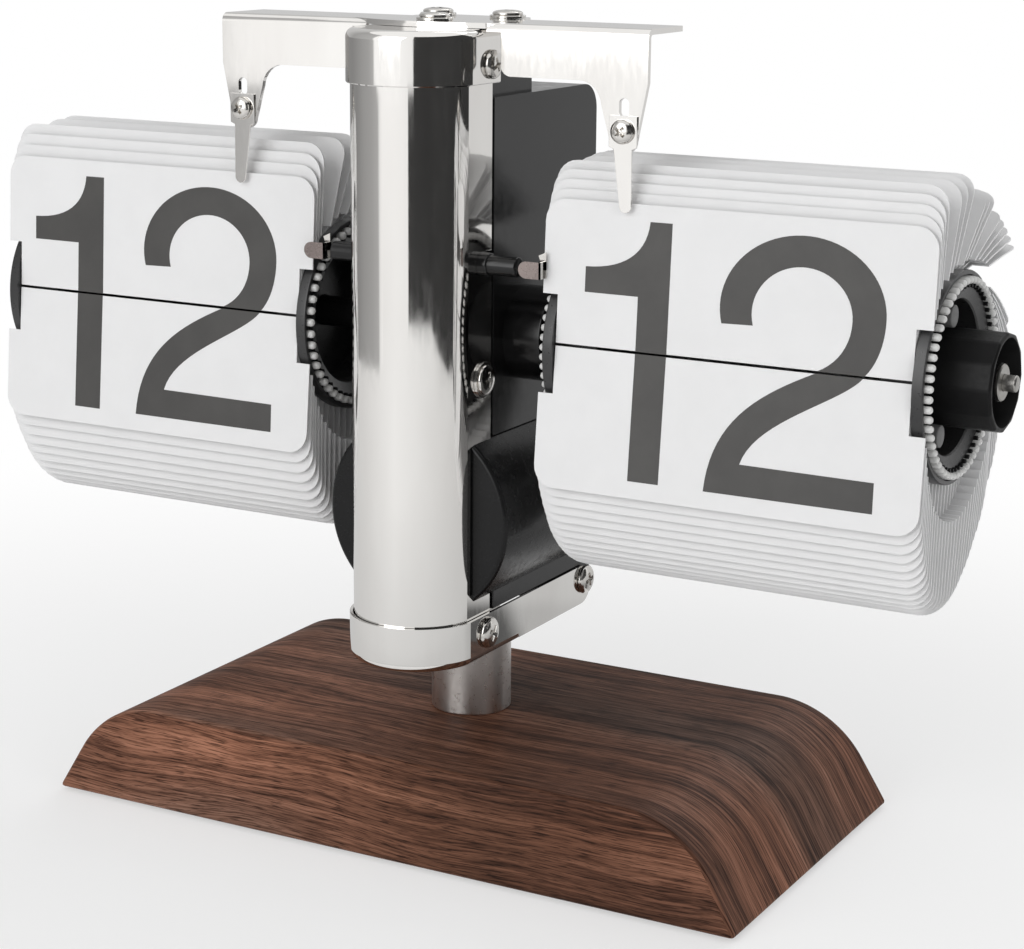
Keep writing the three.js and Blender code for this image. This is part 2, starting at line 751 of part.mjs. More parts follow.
function makeHousing() {
  const barrel = cylinder('Y', barrelRadius, barrelFrontY, barrelRearY, 0, barrelZ, fineSides);
  const body = block(-caseHalfWidth, caseHalfWidth, caseFrontY, caseRearY, caseBottomZ, caseSeamZ - seatGap);
  const frontLug = block(-lugHalfWidth, lugHalfWidth, lugFrontY, caseFrontY + overrun,
    footLugBottomZ, barrelGateBottom);
  const rearLug = block(-caseHalfWidth, caseHalfWidth, caseRearY - footLugRearLength, caseRearY,
    footLugBottomZ, caseBottomZ + overrun);
  const bore = cylinder('Y', boreRadius, barrelFrontY + barrelFrontWall, barrelRearY + overrun,
    0, barrelZ, fineSides);
  const gates = [[-overrun, barrelGateBottom + runGap], [barrelGateTop - runGap, caseTopZ]].flatMap(([low, high]) => [
    block(-leafInnerX, -lugHalfWidth, barrelFrontY - overrun, columnFlangeRearY + runGap, low, high),
    block(lugHalfWidth, leafInnerX, barrelFrontY - overrun, columnFlangeRearY + runGap, low, high),
  ]);
  const nutSpace = cylinder('Z', nutRadius + fitGap, 0, shoeBottomZ + sheet + nutHeight + 2 * boltTail, 0, 0);
  add('battery_housing', cut(join(barrel, body, frontLug, rearLug), bore, nutSpace, ...gates,
    sideHoles(footScrewFrontY, footScrewFrontZ, lugBore),
    sideHoles(footScrewRearY, footScrewRearZ, lugBore)), 'plastic');
}

function makeBattery() {
  const place = (form) => form.rotateZ(Math.PI * half).translate(0, 0, barrelZ);
  const cell = turned([
    [batteryFrontY, 0], [batteryFrontY, batteryNubRadius],
    [batteryFrontY + batteryNubHeight, batteryNubRadius], [batteryFrontY + batteryNubHeight, batteryRadius],
    [batteryRearY, batteryRadius], [batteryRearY, 0],
  ], fineSides);
  add('battery', place(cell), 'cell');
  const contactFront = barrelFrontY + barrelFrontWall + seatGap;
  add('front_contact', cylinder('Y', contactRadius, contactFront, contactFront + contactSheet - seatGap, 0, barrelZ),
    'steel');
  const springFront = batteryRearY + seatGap;
  const springRear = barrelRearY - seatGap;
  const coil = turned([
    [springFront, springTopRadius], [springFront, springTopRadius + springWire],
    [springRear, contactRadius + springWire], [springRear, contactRadius],
  ]);
  add('rear_contact_spring', place(coil), 'steel');
  const coverFront = barrelRearY;
  const disc = cylinder('Y', barrelRadius, coverFront, coverFront + coverThickness, 0, barrelZ, fineSides);
  const skirtRadius = boreRadius - fitGap;
  const skirt = cylinder('Y', skirtRadius, coverFront - coverSkirt, coverFront + overrun, 0, barrelZ, fineSides);
  const well = cylinder('Y', skirtRadius - coverSkirtWall, 0, coverFront, 0, barrelZ, fineSides);
  const gripHalf = coverSkirtWall;
  const rear = coverFront + coverThickness;
  const grip = block(-barrelRadius, barrelRadius, rear - coverSkirtWall, rear + overrun,
    barrelZ - gripHalf, barrelZ + gripHalf);
  const cover = cut(join(disc, skirt), well, grip).translate(0, seatGap, 0);
  add('battery_cover', cover, 'plastic');
}

// Upper case: a box open at the left, closed by a lid; lugs reach forward into the column

function casePlan(growth) {
  const shape = new THREE.Shape();
  const round = caseRearRound + growth;
  shape.moveTo(caseFrontY - growth, caseSeamZ);
  shape.lineTo(caseRearY + growth, caseSeamZ);
  shape.lineTo(caseRearY + growth, caseTopZ + growth - round);
  shape.absarc(caseRearY + growth - round, caseTopZ + growth - round, round, 0, Math.PI * half, false);
  shape.lineTo(caseFrontY - growth, caseTopZ + growth);
  return shape;
}

function makeCase() {
  const lidInner = caseHalfWidth - caseWall;
  const outer = prism('X', casePlan(0), -lidInner, caseHalfWidth);
  const room = prism('X', casePlan(-caseWall), -caseHalfWidth - overrun, lidInner);
  const arch = cylinder('Y', barrelRadius + runGap + caseWall, caseFrontY, caseRearY, 0, barrelZ, fineSides);
  const archOver = common(arch, prism('X', casePlan(0), -lidInner, caseHalfWidth));
  const clearance = cylinder('Y', barrelRadius + runGap, caseFrontY - overrun, caseRearY + overrun,
    0, barrelZ, fineSides);
  const boss = cylinder('X', bossRadius, lidInner, bossEndX, axisY, axisZ);
  const bearing = cylinder('X', bearingRadius, lidInner, bearingEndX, axisY, axisZ);
  const shaftBore = cylinder('X', shaftRadius + fitGap, 0, leafInnerX, axisY, axisZ);
  const topLug = join(
    block(-lugHalfWidth, lugHalfWidth, caseFrontY, topLugRearY, caseTopZ - overrun, armBottomZ - seatGap),
    block(-lugHalfWidth, lugHalfWidth, lugFrontY, capEarRearY, capBottomZ, capTopZ - sheet - seatGap),
  );
  const capShelf = block(-columnHalfWidth, columnHalfWidth, lugFrontY, capEarRearY + runGap,
    capTopZ - sheet - seatGap, capTopZ + overrun);
  const shellLug = block(-lugHalfWidth, lugHalfWidth, lugFrontY, caseFrontY + overrun,
    shellScrewZ - shellLugHeight * half, shellScrewZ + shellLugHeight * half);
  const rodLug = block(-lugHalfWidth, lugHalfWidth, lugFrontY, caseFrontY + overrun,
    rodZ - rodLugHeight * half, rodZ + rodLugHeight * half);
  const cradle = block(motorRearX, motorFrontX, motorPlace.y, caseRearY - caseWall * half,
    motorPlace.z - motorRadius * half, motorPlace.z + motorRadius * half);
  const cradleBed = cylinder('X', motorRadius + fitGap, motorRearX - overrun, motorFrontX + overrun,
    motorPlace.y, motorPlace.z);
  const pinBoss = cylinder('X', idlerPinRadius + idlerBossWall, minuteWheelX, caseHalfWidth - seatGap,
    idlerPlace.y, idlerPlace.z, screwSides);
  const pinBore = cylinder('X', idlerPinRadius + seatGap, minuteWheelX - overrun, lidInner, idlerPlace.y,
    idlerPlace.z, screwSides);
  const walls = join(cut(outer, room), cut(archOver, clearance), cut(cradle, cradleBed), pinBoss,
    boss, bearing, cut(topLug, capShelf), shellLug, rodLug);
  const topBores = topScrewPlaces().map(([x, y]) => cylinder('Z', lugBore,
    armBottomZ - topScrewLength, armTopZ, x, y, screwSides));
  add('case_body', cut(walls, clearance, shaftBore, pinBore, ...topBores,
    sideHoles(capScrewY, capScrewZ, lugBore),
    sideHoles(shellScrewY, shellScrewZ, lugBore),
    sideHoles(rodY, rodZ, rodRadius + seatGap)), 'plastic');
}

function makeLid() {
  const lidInner = caseHalfWidth - caseWall;
  const plate = prism('X', casePlan(0), -caseHalfWidth, -lidInner - seatGap);
  const clearance = cylinder('Y', barrelRadius + runGap, caseFrontY - overrun, caseRearY + overrun,
    0, barrelZ, fineSides);
  const boss = cylinder('X', bossRadius, -bossEndX, -lidInner - seatGap, axisY, axisZ);
  const bearing = cylinder('X', bearingRadius, -bearingEndX, -lidInner - seatGap, axisY, axisZ);
  const sleeveBore = cylinder('X', sleeveRadius + fitGap, -leafInnerX, 0, axisY, axisZ);
  const pinBoss = cylinder('X', idlerPinRadius + idlerBossWall, -caseHalfWidth + seatGap,
    hourWheelX - runGap - seatGap, idlerPlace.y, idlerPlace.z, screwSides);
  const pinBore = cylinder('X', idlerPinRadius + seatGap, -lidInner, 0, idlerPlace.y, idlerPlace.z, screwSides);
  add('case_lid', cut(join(plate, boss, bearing, pinBoss), clearance, sleeveBore, pinBore), 'plastic');
}

// Gears stand on named bearings round the drum axis; a tooth of one faces a gap of the other

function placeAround(degrees) {
  return {
    y: axisY + gearCentre * Math.cos(radians(degrees)),
    z: axisZ + gearCentre * Math.sin(radians(degrees)),
  };
}

function gearShape(teeth, module, toothBearing, boreRadius) {
  const pitch = 2 * Math.PI / teeth;
  const pitchRadius = teeth * module * half;
  const tip = pitchRadius + addendumShare * module;
  const root = pitchRadius - dedendumShare * module;
  const points = [];
  for (let i = 0; i < teeth; i += 1) {
    const middle = radians(toothBearing) + i * pitch;
    for (const [radius, share] of [[root, -toothRootShare], [tip, -toothTipShare],
      [tip, toothTipShare], [root, toothRootShare]]) {
      const angle = middle + share * pitch;
      points.push([radius * Math.cos(angle), radius * Math.sin(angle)]);
    }
  }
  const shape = polygon(points);
  const hole = new THREE.Path();
  hole.absarc(0, 0, boreRadius, 0, 2 * Math.PI, true);
  shape.holes.push(hole);
  return shape;
}

function gear(teeth, module, toothBearing, boreRadius, from, to) {
  return prism('X', gearShape(teeth, module, toothBearing, boreRadius), from, to, 4 * arcSteps);
}

const idlerPlace = placeAround(idlerDegrees);
const motorPlace = placeAround(motorDegrees);
const halfPitch = (teeth) => fullTurnDegrees * half / teeth;

function makeGears() {
  const drive = new THREE.Group();
  drive.position.set(0, axisY, axisZ);
  const bore = shaftRadius + gearBoreGap;
  addTo(drive, 'minute_gear', join(
    gear(coarseWheelTeeth, coarseModule, motorDegrees, bore, minuteWheelX, minuteWheelX + gearWidth),
    gear(coarsePinionTeeth, coarseModule, idlerDegrees, bore, minutePinionX, minuteWheelX + gearWidth * half),
  ), 'gear');
  addTo(drive, 'hour_gear', gear(fineWheelTeeth, fineModule, idlerDegrees + halfPitch(fineWheelTeeth),
    sleeveRadius + fitGap, hourWheelX, hourWheelX + gearWidth), 'gear');
  group.add(drive);

  const idler = new THREE.Group();
  idler.position.set(0, idlerPlace.y, idlerPlace.z);
  const facing = idlerDegrees + halfTurnDegrees;
  addTo(idler, 'idler_gear', join(
    gear(coarseWheelTeeth, coarseModule, facing + halfPitch(coarseWheelTeeth), idlerPinRadius + fitGap,
      idlerWheelX, idlerWheelX + gearWidth),
    gear(finePinionTeeth, fineModule, facing, idlerPinRadius + fitGap, hourWheelX, idlerWheelX + gearWidth * half),
  ), 'gear');
  addTo(idler, 'idler_pin', cylinder('X', idlerPinRadius, -caseHalfWidth + caseWall + seatGap,
    caseHalfWidth - caseWall - seatGap, 0, 0, screwSides), 'post');
  group.add(idler);

  const motor = new THREE.Group();
  motor.position.set(0, motorPlace.y, motorPlace.z);
  const shaftRear = motorFrontX - motorShaftTail;
  const can = cylinder('X', motorRadius, motorRearX, motorFrontX, 0, 0);
  const socket = cylinder('X', motorShaftRadius + fitGap, shaftRear - fitGap, motorFrontX + overrun,
    0, 0, screwSides);
  addTo(motor, 'motor', cut(can, socket), 'steel');
  const pinionFront = minuteWheelX + gearWidth;
  addTo(motor, 'motor_pinion', join(
    gear(coarsePinionTeeth, coarseModule, motorDegrees + halfTurnDegrees + halfPitch(coarsePinionTeeth),
      motorShaftRadius * half, minuteWheelX - runGap, pinionFront),
    cylinder('X', motorShaftRadius, shaftRear, pinionFront, 0, 0, screwSides),
  ), 'gear');
  group.add(motor);
}

function makeBoard() {
  const rear = caseRearY - caseWall - runGap;
  const front = rear - boardThickness;
  const plate = block(-boardHalfWidth, boardHalfWidth, front, rear, boardBottomZ, boardTopZ);
  const middleZ = (boardBottomZ + boardTopZ) * half;
  const chip = block(-boardPartSize * half, boardPartSize * half,
    front - boardPartHeight, front + boardThickness * half,
    middleZ - boardPartSize * half, middleZ + boardPartSize * half);
  add('circuit_board', join(plate, chip), 'board');
}

// Shafts and drums

function makeShaft() {
  const drum = new THREE.Group();
  drum.position.set(0, axisY, axisZ);
  addTo(drum, 'minute_shaft', cylinder('X', shaftRadius, shaftTailX, shaftTipX, 0, 0, screwSides), 'post');
  const sleeveBore = shaftRadius + sleeveBoreGap;
  const clipFace = shaftTailX + runGap;
  const sleeveEnd = clipFace + clipThickness + runGap;
  addTo(drum, 'hour_sleeve', turned([
    [sleeveEnd, sleeveBore], [sleeveEnd, sleeveRadius],
    [hourWheelX + gearWidth, sleeveRadius], [hourWheelX + gearWidth, sleeveBore],
  ], screwSides * 2), 'plastic');
  addTo(drum, 'shaft_clip', turned([
    [clipFace, shaftRadius + seatGap], [clipFace, washerRadius],
    [clipFace + clipThickness, washerRadius], [clipFace + clipThickness, shaftRadius + seatGap],
  ], screwSides * 2), 'post');
  const washerRear = knobFaceX - knobBossDrop + seatGap;
  addTo(drum, 'shaft_washer', turned([
    [washerRear, shaftRadius + seatGap], [washerRear, washerRadius],
    [washerRear + washerHeight, washerRadius], [washerRear + washerHeight, shaftRadius + seatGap],
  ], screwSides * 2), 'post');
  group.add(drum);
}

// A flange is a rim, a cup behind its window, and a hub; face is its outer side, way points out
function flangeProfile(face, way, bore) {
  const back = face - way * flangeThickness;
  const floor = face - way * cupDepth;
  const floorBack = floor - way * cupFloor;
  return [
    [floorBack, bore], [floorBack, cupRadius], [back, cupRadius], [back, flangeRadius],
    [face, flangeRadius], [face, windowRadius], [floor, windowRadius], [floor, bore],
  ];
}

function flangeLugs(face, way) {
  const depth = face - way * cupDepth * half;
  return [-1, 1].map((side) => {
    const lug = cylinder('X', lugRadius, Math.min(depth, face - way * seatGap), Math.max(depth, face - way * seatGap),
      -windowRadius * Math.cos(radians(lugDegrees)), side * windowRadius * Math.sin(radians(lugDegrees)), screwSides);
    return lug;
  });
}

function makeFlanges() {
  const drum = new THREE.Group();
  drum.position.set(0, axisY, axisZ);
  const shaftBore = shaftRadius + seatGap;
  const sleeveBore = sleeveRadius + seatGap;
  const places = [
    ['minute_flange_inner', flangeInnerX, -1, shaftBore],
    ['minute_flange_outer', flangeOuterX, 1, shaftBore],
    ['hour_flange_inner', -flangeInnerX, 1, sleeveBore],
    ['hour_flange_outer', -flangeOuterX, -1, sleeveBore],
  ];
  for (const [name, face, way, bore] of places) {
    const wheel = turned(flangeProfile(face, way, bore), fineSides);
    addTo(drum, name, join(wheel, ...flangeLugs(face, way)), 'plastic');
  }
  const knobRear = flangeOuterX - cupDepth + seatGap;
  const barrel = new THREE.CylinderGeometry(knobRadius, knobRadius, knobFaceX - knobRear, knobFacetCount * 2);
  barrel.rotateZ(-Math.PI * half).translate((knobFaceX + knobRear) * half, 0, 0);
  const dish = turned([
    [knobFaceX - knobDish, knobBossRadius], [knobFaceX - knobDish, knobRadius - 2 * knobRim],
    [knobFaceX + overrun, knobRadius - knobRim], [knobFaceX + overrun, shaftRadius],
    [knobFaceX - knobBossDrop, shaftRadius], [knobFaceX - knobBossDrop, knobBossRadius],
  ], knobFacetCount * 2);
  const bore = cylinder('X', shaftRadius + seatGap, knobRear - overrun, knobFaceX + overrun, 0, 0, screwSides);
  addTo(drum, 'minute_knob', cut(barrel, dish, bore), 'plastic');
  group.add(drum);
}

// Leaves: thin cards, notched at both ends where they hang on the drum's flanges

function leafShape() {
  const shape = new THREE.Shape();
  const right = Math.PI * half;
  shape.moveTo(leafNotchDepth, 0);
  shape.lineTo(leafWidth - leafNotchDepth, 0);
  shape.lineTo(leafWidth - leafNotchDepth, leafNotchHeight);
  shape.lineTo(leafWidth, leafNotchHeight);
  shape.lineTo(leafWidth, leafHeight - leafCorner);
  shape.absarc(leafWidth - leafCorner, leafHeight - leafCorner, leafCorner, 0, right, false);
  shape.absarc(leafCorner, leafHeight - leafCorner, leafCorner, right, 2 * right, false);
  shape.lineTo(0, leafNotchHeight);
  shape.lineTo(leafNotchDepth, leafNotchHeight);
  return shape;
}

function leanAt(bearing) {
  const last = leafLeanDegrees.findIndex(([at]) => at > bearing);
  if (last < 1) {
    return leafLeanDegrees.at(last)[1];
  }
  const [[b0, a0], [b1, a1]] = leafLeanDegrees.slice(last - 1, last + 1);
  return a0 + (a1 - a0) * (bearing - b0) / (b1 - b0);
}

// One leaf: its pin stands at a bearing on the pin circle, and its card is set off outwards
function leafAt(bearing, offset, firstX, steps) {
  const options = { depth: leafThickness, bevelEnabled: false, curveSegments: steps };
  const card = new THREE.ExtrudeGeometry(leafShape(), options);
  const lean = radians(leanAt(bearing));
  const along = new THREE.Vector3(0, Math.sin(lean), Math.cos(lean));
  const across = new THREE.Vector3(1, 0, 0);
  const outward = across.clone().cross(along);
  card.translate(0, -leafRootInset, offset - leafThickness * half);
  card.applyMatrix4(new THREE.Matrix4().makeBasis(across, along, outward));
  const y = axisY - pinCircleRadius * Math.cos(radians(bearing));
  const z = axisZ + pinCircleRadius * Math.sin(radians(bearing));
  return card.translate(firstX, y, z);
}

// A thin band under the roots holds a pack's leaves together as one piece
function rootBand(firstX, from, to) {
  const shape = new THREE.Shape();
  const start = Math.PI - radians(to);
  const end = Math.PI - radians(from);
  shape.absarc(axisY, axisZ, rootBandOuterRadius, start, end, false);
  shape.absarc(axisY, axisZ, rootBandInnerRadius, end, start, true);
  const x0 = firstX + leafNotchDepth + fitGap;
  return prism('X', shape, x0, firstX + leafWidth - leafNotchDepth - fitGap, 5 * arcSteps);
}

function leafPack(firstX, bearings, pitch) {
  const rim = pitch * half * half;
  const band = rootBand(firstX, bearings[0] - rim, bearings[bearings.length - 1] + rim);
  return join(band, ...bearings.map((bearing) => leafAt(bearing, packLeafOffset, firstX, 1)));
}

function makeLeaves(word, firstX, count, upperLast) {
  const pitch = fullTurnDegrees / count;
  const first = splitDegrees + pitch * half;
  const bearings = Array.from({ length: count }, (_, i) => first + i * pitch);
  add(`${word}_leaf`, leafAt(bearings[0], frontLeafOffset, firstX, 2), 'leaf');
  add(`${word}_lower_leaf`, leafAt(bearings[count - 1], -frontLeafOffset, firstX, 2), 'leaf');
  add(`${word}_leaves_upper`, leafPack(firstX, bearings.slice(1, upperLast + 1), pitch), 'leaf');
  add(`${word}_leaves_lower`, leafPack(firstX, bearings.slice(upperLast + 1, count - 1), pitch), 'leaf');
}

// Catch rods and catches: the catches steady the inner edge of each front leaf

function makeCatches() {
  for (const [side, word] of [[-1, 'left'], [1, 'right']]) {
    const [from, to] = [side * rodRootX, side * rodEndX].sort((a, b) => a - b);
    add(`catch_rod_${word}`, cylinder('X', rodRadius, from, to, rodY, rodZ, screwSides), 'plastic');
  }
  const tabFront = rodY - rodRadius - seatGap - catchSheet;
  const round = catchHeight * half;
  const tab = new THREE.Shape();
  const tabEnd = catchTabX + catchTabLength;
  tab.moveTo(tabEnd, rodZ - round);
  tab.lineTo(tabEnd, rodZ + round);
  tab.absarc(catchTabX + round, rodZ, round, Math.PI * half, 3 * Math.PI * half, false);
  const plate = prism('Y', tab, tabFront, tabFront + catchSheet);
  const bend = block(tabEnd - catchSheet, tabEnd, tabFront, tabFront + catchReturn, rodZ - round, rodZ + round);
  const footRear = tabFront + catchReturn;
  const foot = block(tabEnd - catchSheet, tabEnd + catchFootLength, footRear - catchSheet, footRear,
    rodZ - round, rodZ + round);
  const prong = block(tabEnd + catchFootLength * half, tabEnd + catchFootLength, footRear - catchSheet, footRear,
    rodZ, rodZ + round + catchProng);
  const form = join(plate, bend, foot, prong);
  add('minute_catch', form.clone(), 'catch');
  add('hour_catch', form.clone().translate(-catchPitch, 0, 0), 'catch');
}

makeBase();
makePost();
makeShell();
makeShoe();
makeCap();
makeArms();
makeFinger('minute_finger', 1);
makeFinger('hour_finger', -1);
makeScrews();
makeHousing();
makeBattery();
makeCase();
makeLid();
makeGears();
makeBoard();
makeShaft();
makeFlanges();
makeLeaves('minute', leafInnerX, minuteLeafCount, upperMinuteCount);
makeLeaves('hour', -leafInnerX - leafWidth, hourLeafCount, upperHourCount);
makeCatches();

export default group;
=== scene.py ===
"""Looks of a split-leaf flip clock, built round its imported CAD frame.

X runs along the drums, Y to the rear, Z up, the origin under the base. Shapes are written in millimetres,
and solid() turns them into metres.
"""

import math

import bmesh
import bpy
from mathutils import Matrix, Vector


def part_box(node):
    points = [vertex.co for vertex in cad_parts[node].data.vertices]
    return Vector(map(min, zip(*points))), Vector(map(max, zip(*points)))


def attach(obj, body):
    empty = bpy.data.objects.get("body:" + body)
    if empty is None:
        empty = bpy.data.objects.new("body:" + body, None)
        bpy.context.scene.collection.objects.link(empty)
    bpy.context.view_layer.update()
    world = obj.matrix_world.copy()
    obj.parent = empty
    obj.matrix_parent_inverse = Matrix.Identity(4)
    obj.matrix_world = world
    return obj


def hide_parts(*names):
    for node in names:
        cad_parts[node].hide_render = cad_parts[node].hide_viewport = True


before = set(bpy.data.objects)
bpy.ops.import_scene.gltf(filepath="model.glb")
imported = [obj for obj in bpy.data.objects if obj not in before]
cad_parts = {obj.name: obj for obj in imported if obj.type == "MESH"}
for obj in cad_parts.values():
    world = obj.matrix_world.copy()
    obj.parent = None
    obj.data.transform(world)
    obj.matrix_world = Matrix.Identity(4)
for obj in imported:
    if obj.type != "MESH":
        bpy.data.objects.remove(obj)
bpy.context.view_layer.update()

MM = 0.001
"""Metres in a millimetre."""
FULL_TURN = 2 * math.pi
RIGHT_ANGLE = math.pi / 2


def low(node):
    """A node's lowest corner at rest, in millimetres."""
    return Vector(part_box(node)[0]) / MM


def high(node):
    """A node's highest corner at rest, in millimetres."""
    return Vector(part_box(node)[1]) / MM


def middle(node):
    """The middle of a node's box at rest."""
    return (low(node) + high(node)) / 2


# Places and sizes taken from the frame

AXIS = AXIS_Y, AXIS_Z = middle("minute_shaft").yz
BASE_TOP = high("wood_base").z
COLUMN_HALF = high("front_shell").x
SHOE_HALF = high("lower_bracket").x
SHOE_BOTTOM = low("lower_bracket").z
SHOE_TOP = high("lower_bracket").z
CAP_BOTTOM = low("upper_bracket").z
CAP_TOP = high("upper_bracket").z
LEAF_LEFT = low("minute_leaf").x
LEAF_RIGHT = high("minute_leaf").x
BARREL_RADIUS = high("battery_housing").x
BARREL_Z = middle("battery_cover").z
HOUSING_BOTTOM = low("battery_housing").z

# How near, in metres, points are welded
WELD = 0.5e-6

# Sizes of the sheet metal
SHEET = 0.6
COLUMN_CORNER_Y = -22.9
COLUMN_BULGE = 9.9
COLUMN_STEPS = 48
BAND_ROUND = 1.7
BAND_GROWTH = SHOE_HALF - COLUMN_HALF
CRISP_CORNER = 9
SCREW_HEIGHT = 1.4

# The front of the case, and the front and half width of the blocks before it
CASE_FRONT = -13.5
BLOCK_FRONT = -20.6
BLOCK_HALF = 10.4

# Sizes of the leaves
LEAF_THICKNESS = 0.26
LEAF_HEIGHT = 26.1
LEAF_TIP = 25.45
LEAF_CORNER = 4
SPLIT_GAP = 0.55
NOTCH_DEPTH = 3
NOTCH_HEIGHT = 8.8
PIN_CIRCLE = 17.19
SPLIT_BEARING = 6.4
LUG_CIRCLE = 12
LUG_BEARINGS = (72, -48, 192)
MINUTE_LEAVES = 60
HOUR_LEAVES = 48
CORNER_STEPS = 6
PRINT_DEPTH = 0.03
PRINT_RIGHT = 65.65

# How far the front leaf and the cards of the packs lie from the curve of their pins
FRONT_OFFSET = 0.5
PACK_OFFSET = 0.15

# Bearing of a leaf's pin, lean at its root and bend over its length, in degrees
LEAF_HANG = [
    (6, 3.0, 0), (15, 4.5, 0), (33, 5.5, 0), (39, 20, 0), (52, 30, 3), (57, 45, 4),
    (69, 51, 4), (74, 62, 4), (84, 70, 4), (101, 82, 4), (105, 102, 22), (122, 118, 26),
    (140, 136, 24), (158, 153, 20), (170, 165, 13), (183, 179, 5), (200, 184, 2), (215, 188, 2),
    (240, 189, 2), (270, 186, 0), (300, 183, 0), (333, 181, 0), (345, 182, 0), (357, 184, 0),
    (366, 186.2, 0),
]
"""Leans are measured from upright and backwards; a bend adds to the lean towards the tip."""


# Materials

def give(tree, socket, value):
    """Links a socket to an output or sets its value."""
    if isinstance(value, bpy.types.NodeSocket):
        tree.links.new(value, socket)
    else:
        socket.default_value = value


def feed(tree, node, **values):
    """Gives a node's inputs numbers, colours or links; an underscore stands for a space."""
    for name, value in values.items():
        give(tree, node.inputs[name.replace("_", " ")], value)
    return node


def add_node(tree, kind, settings=(), **values):
    """A shader node with its settings and inputs."""
    node = tree.nodes.new("ShaderNode" + kind)
    for name, value in dict(settings).items():
        setattr(node, name, value)
    return feed(tree, node, **values)


def maths(tree, operation, *values):
    """A Math node's result."""
    node = add_node(tree, "Math", {"operation": operation})
    for socket, value in zip(node.inputs, values):
        give(tree, socket, value)
    return node.outputs[0]


def blank(name):
    """A material with a Principled shader, and its tree and shader."""
    material = bpy.data.materials.new(name)
    material.use_nodes = True
    tree = material.node_tree
    return material, tree, tree.nodes["Principled BSDF"]


def scaled_place(tree, scale):
    """Object coordinates times a scale along each axis."""
    place = add_node(tree, "TexCoord").outputs["Object"]
    return add_node(tree, "Mapping", Vector=place, Scale=scale).outputs["Vector"]


def noise(tree, vector, scale, detail=3, rough=0.55):
    """The grey output of a noise texture."""
    node = add_node(tree, "TexNoise", Vector=vector, Scale=scale, Detail=detail, Roughness=rough)
    return node.outputs["Fac"]


def ramp(tree, value, stops):
    """A colour ramp over (position, colour) stops."""
    node = add_node(tree, "ValToRGB", Fac=value)
    elements = node.color_ramp.elements
    elements[0].position, elements[0].color = stops[0][0], (*stops[0][1], 1)
    elements[1].position, elements[1].color = stops[-1][0], (*stops[-1][1], 1)
    for position, colour in stops[1:-1]:
        elements.new(position).color = (*colour, 1)
    return node.outputs["Color"]


def between(tree, value, lowest, highest):
    """Maps noise, most of which lies from 0.3 to 0.7, to a range."""
    node = add_node(tree, "MapRange", Value=value, From_Min=0.3, From_Max=0.7, To_Min=lowest, To_Max=highest)
    return node.outputs["Result"]


def bump(tree, shader, height, strength, distance):
    """Links a height to the shader's normal."""
    node = add_node(tree, "Bump", Height=height, Strength=strength, Distance=distance * MM)
    feed(tree, shader, Normal=node.outputs["Normal"])


def surface(name, dark, light, rough, size, relief=0.05, depth=0.02, metal=0, gloss=0.5, grain=(1, 1, 1)):
    """A finish whose colour, roughness and relief all vary a little with noise of a size per metre."""
    material, tree, shader = blank(name)
    place = scaled_place(tree, grain)
    fine = noise(tree, place, size)
    broad = noise(tree, place, size / 12)
    feed(tree, shader, Base_Color=ramp(tree, broad, [(0.35, dark), (0.65, light)]),
         Roughness=between(tree, fine, *rough), Metallic=metal, Specular_IOR_Level=gloss)
    bump(tree, shader, fine, relief, depth)
    return material


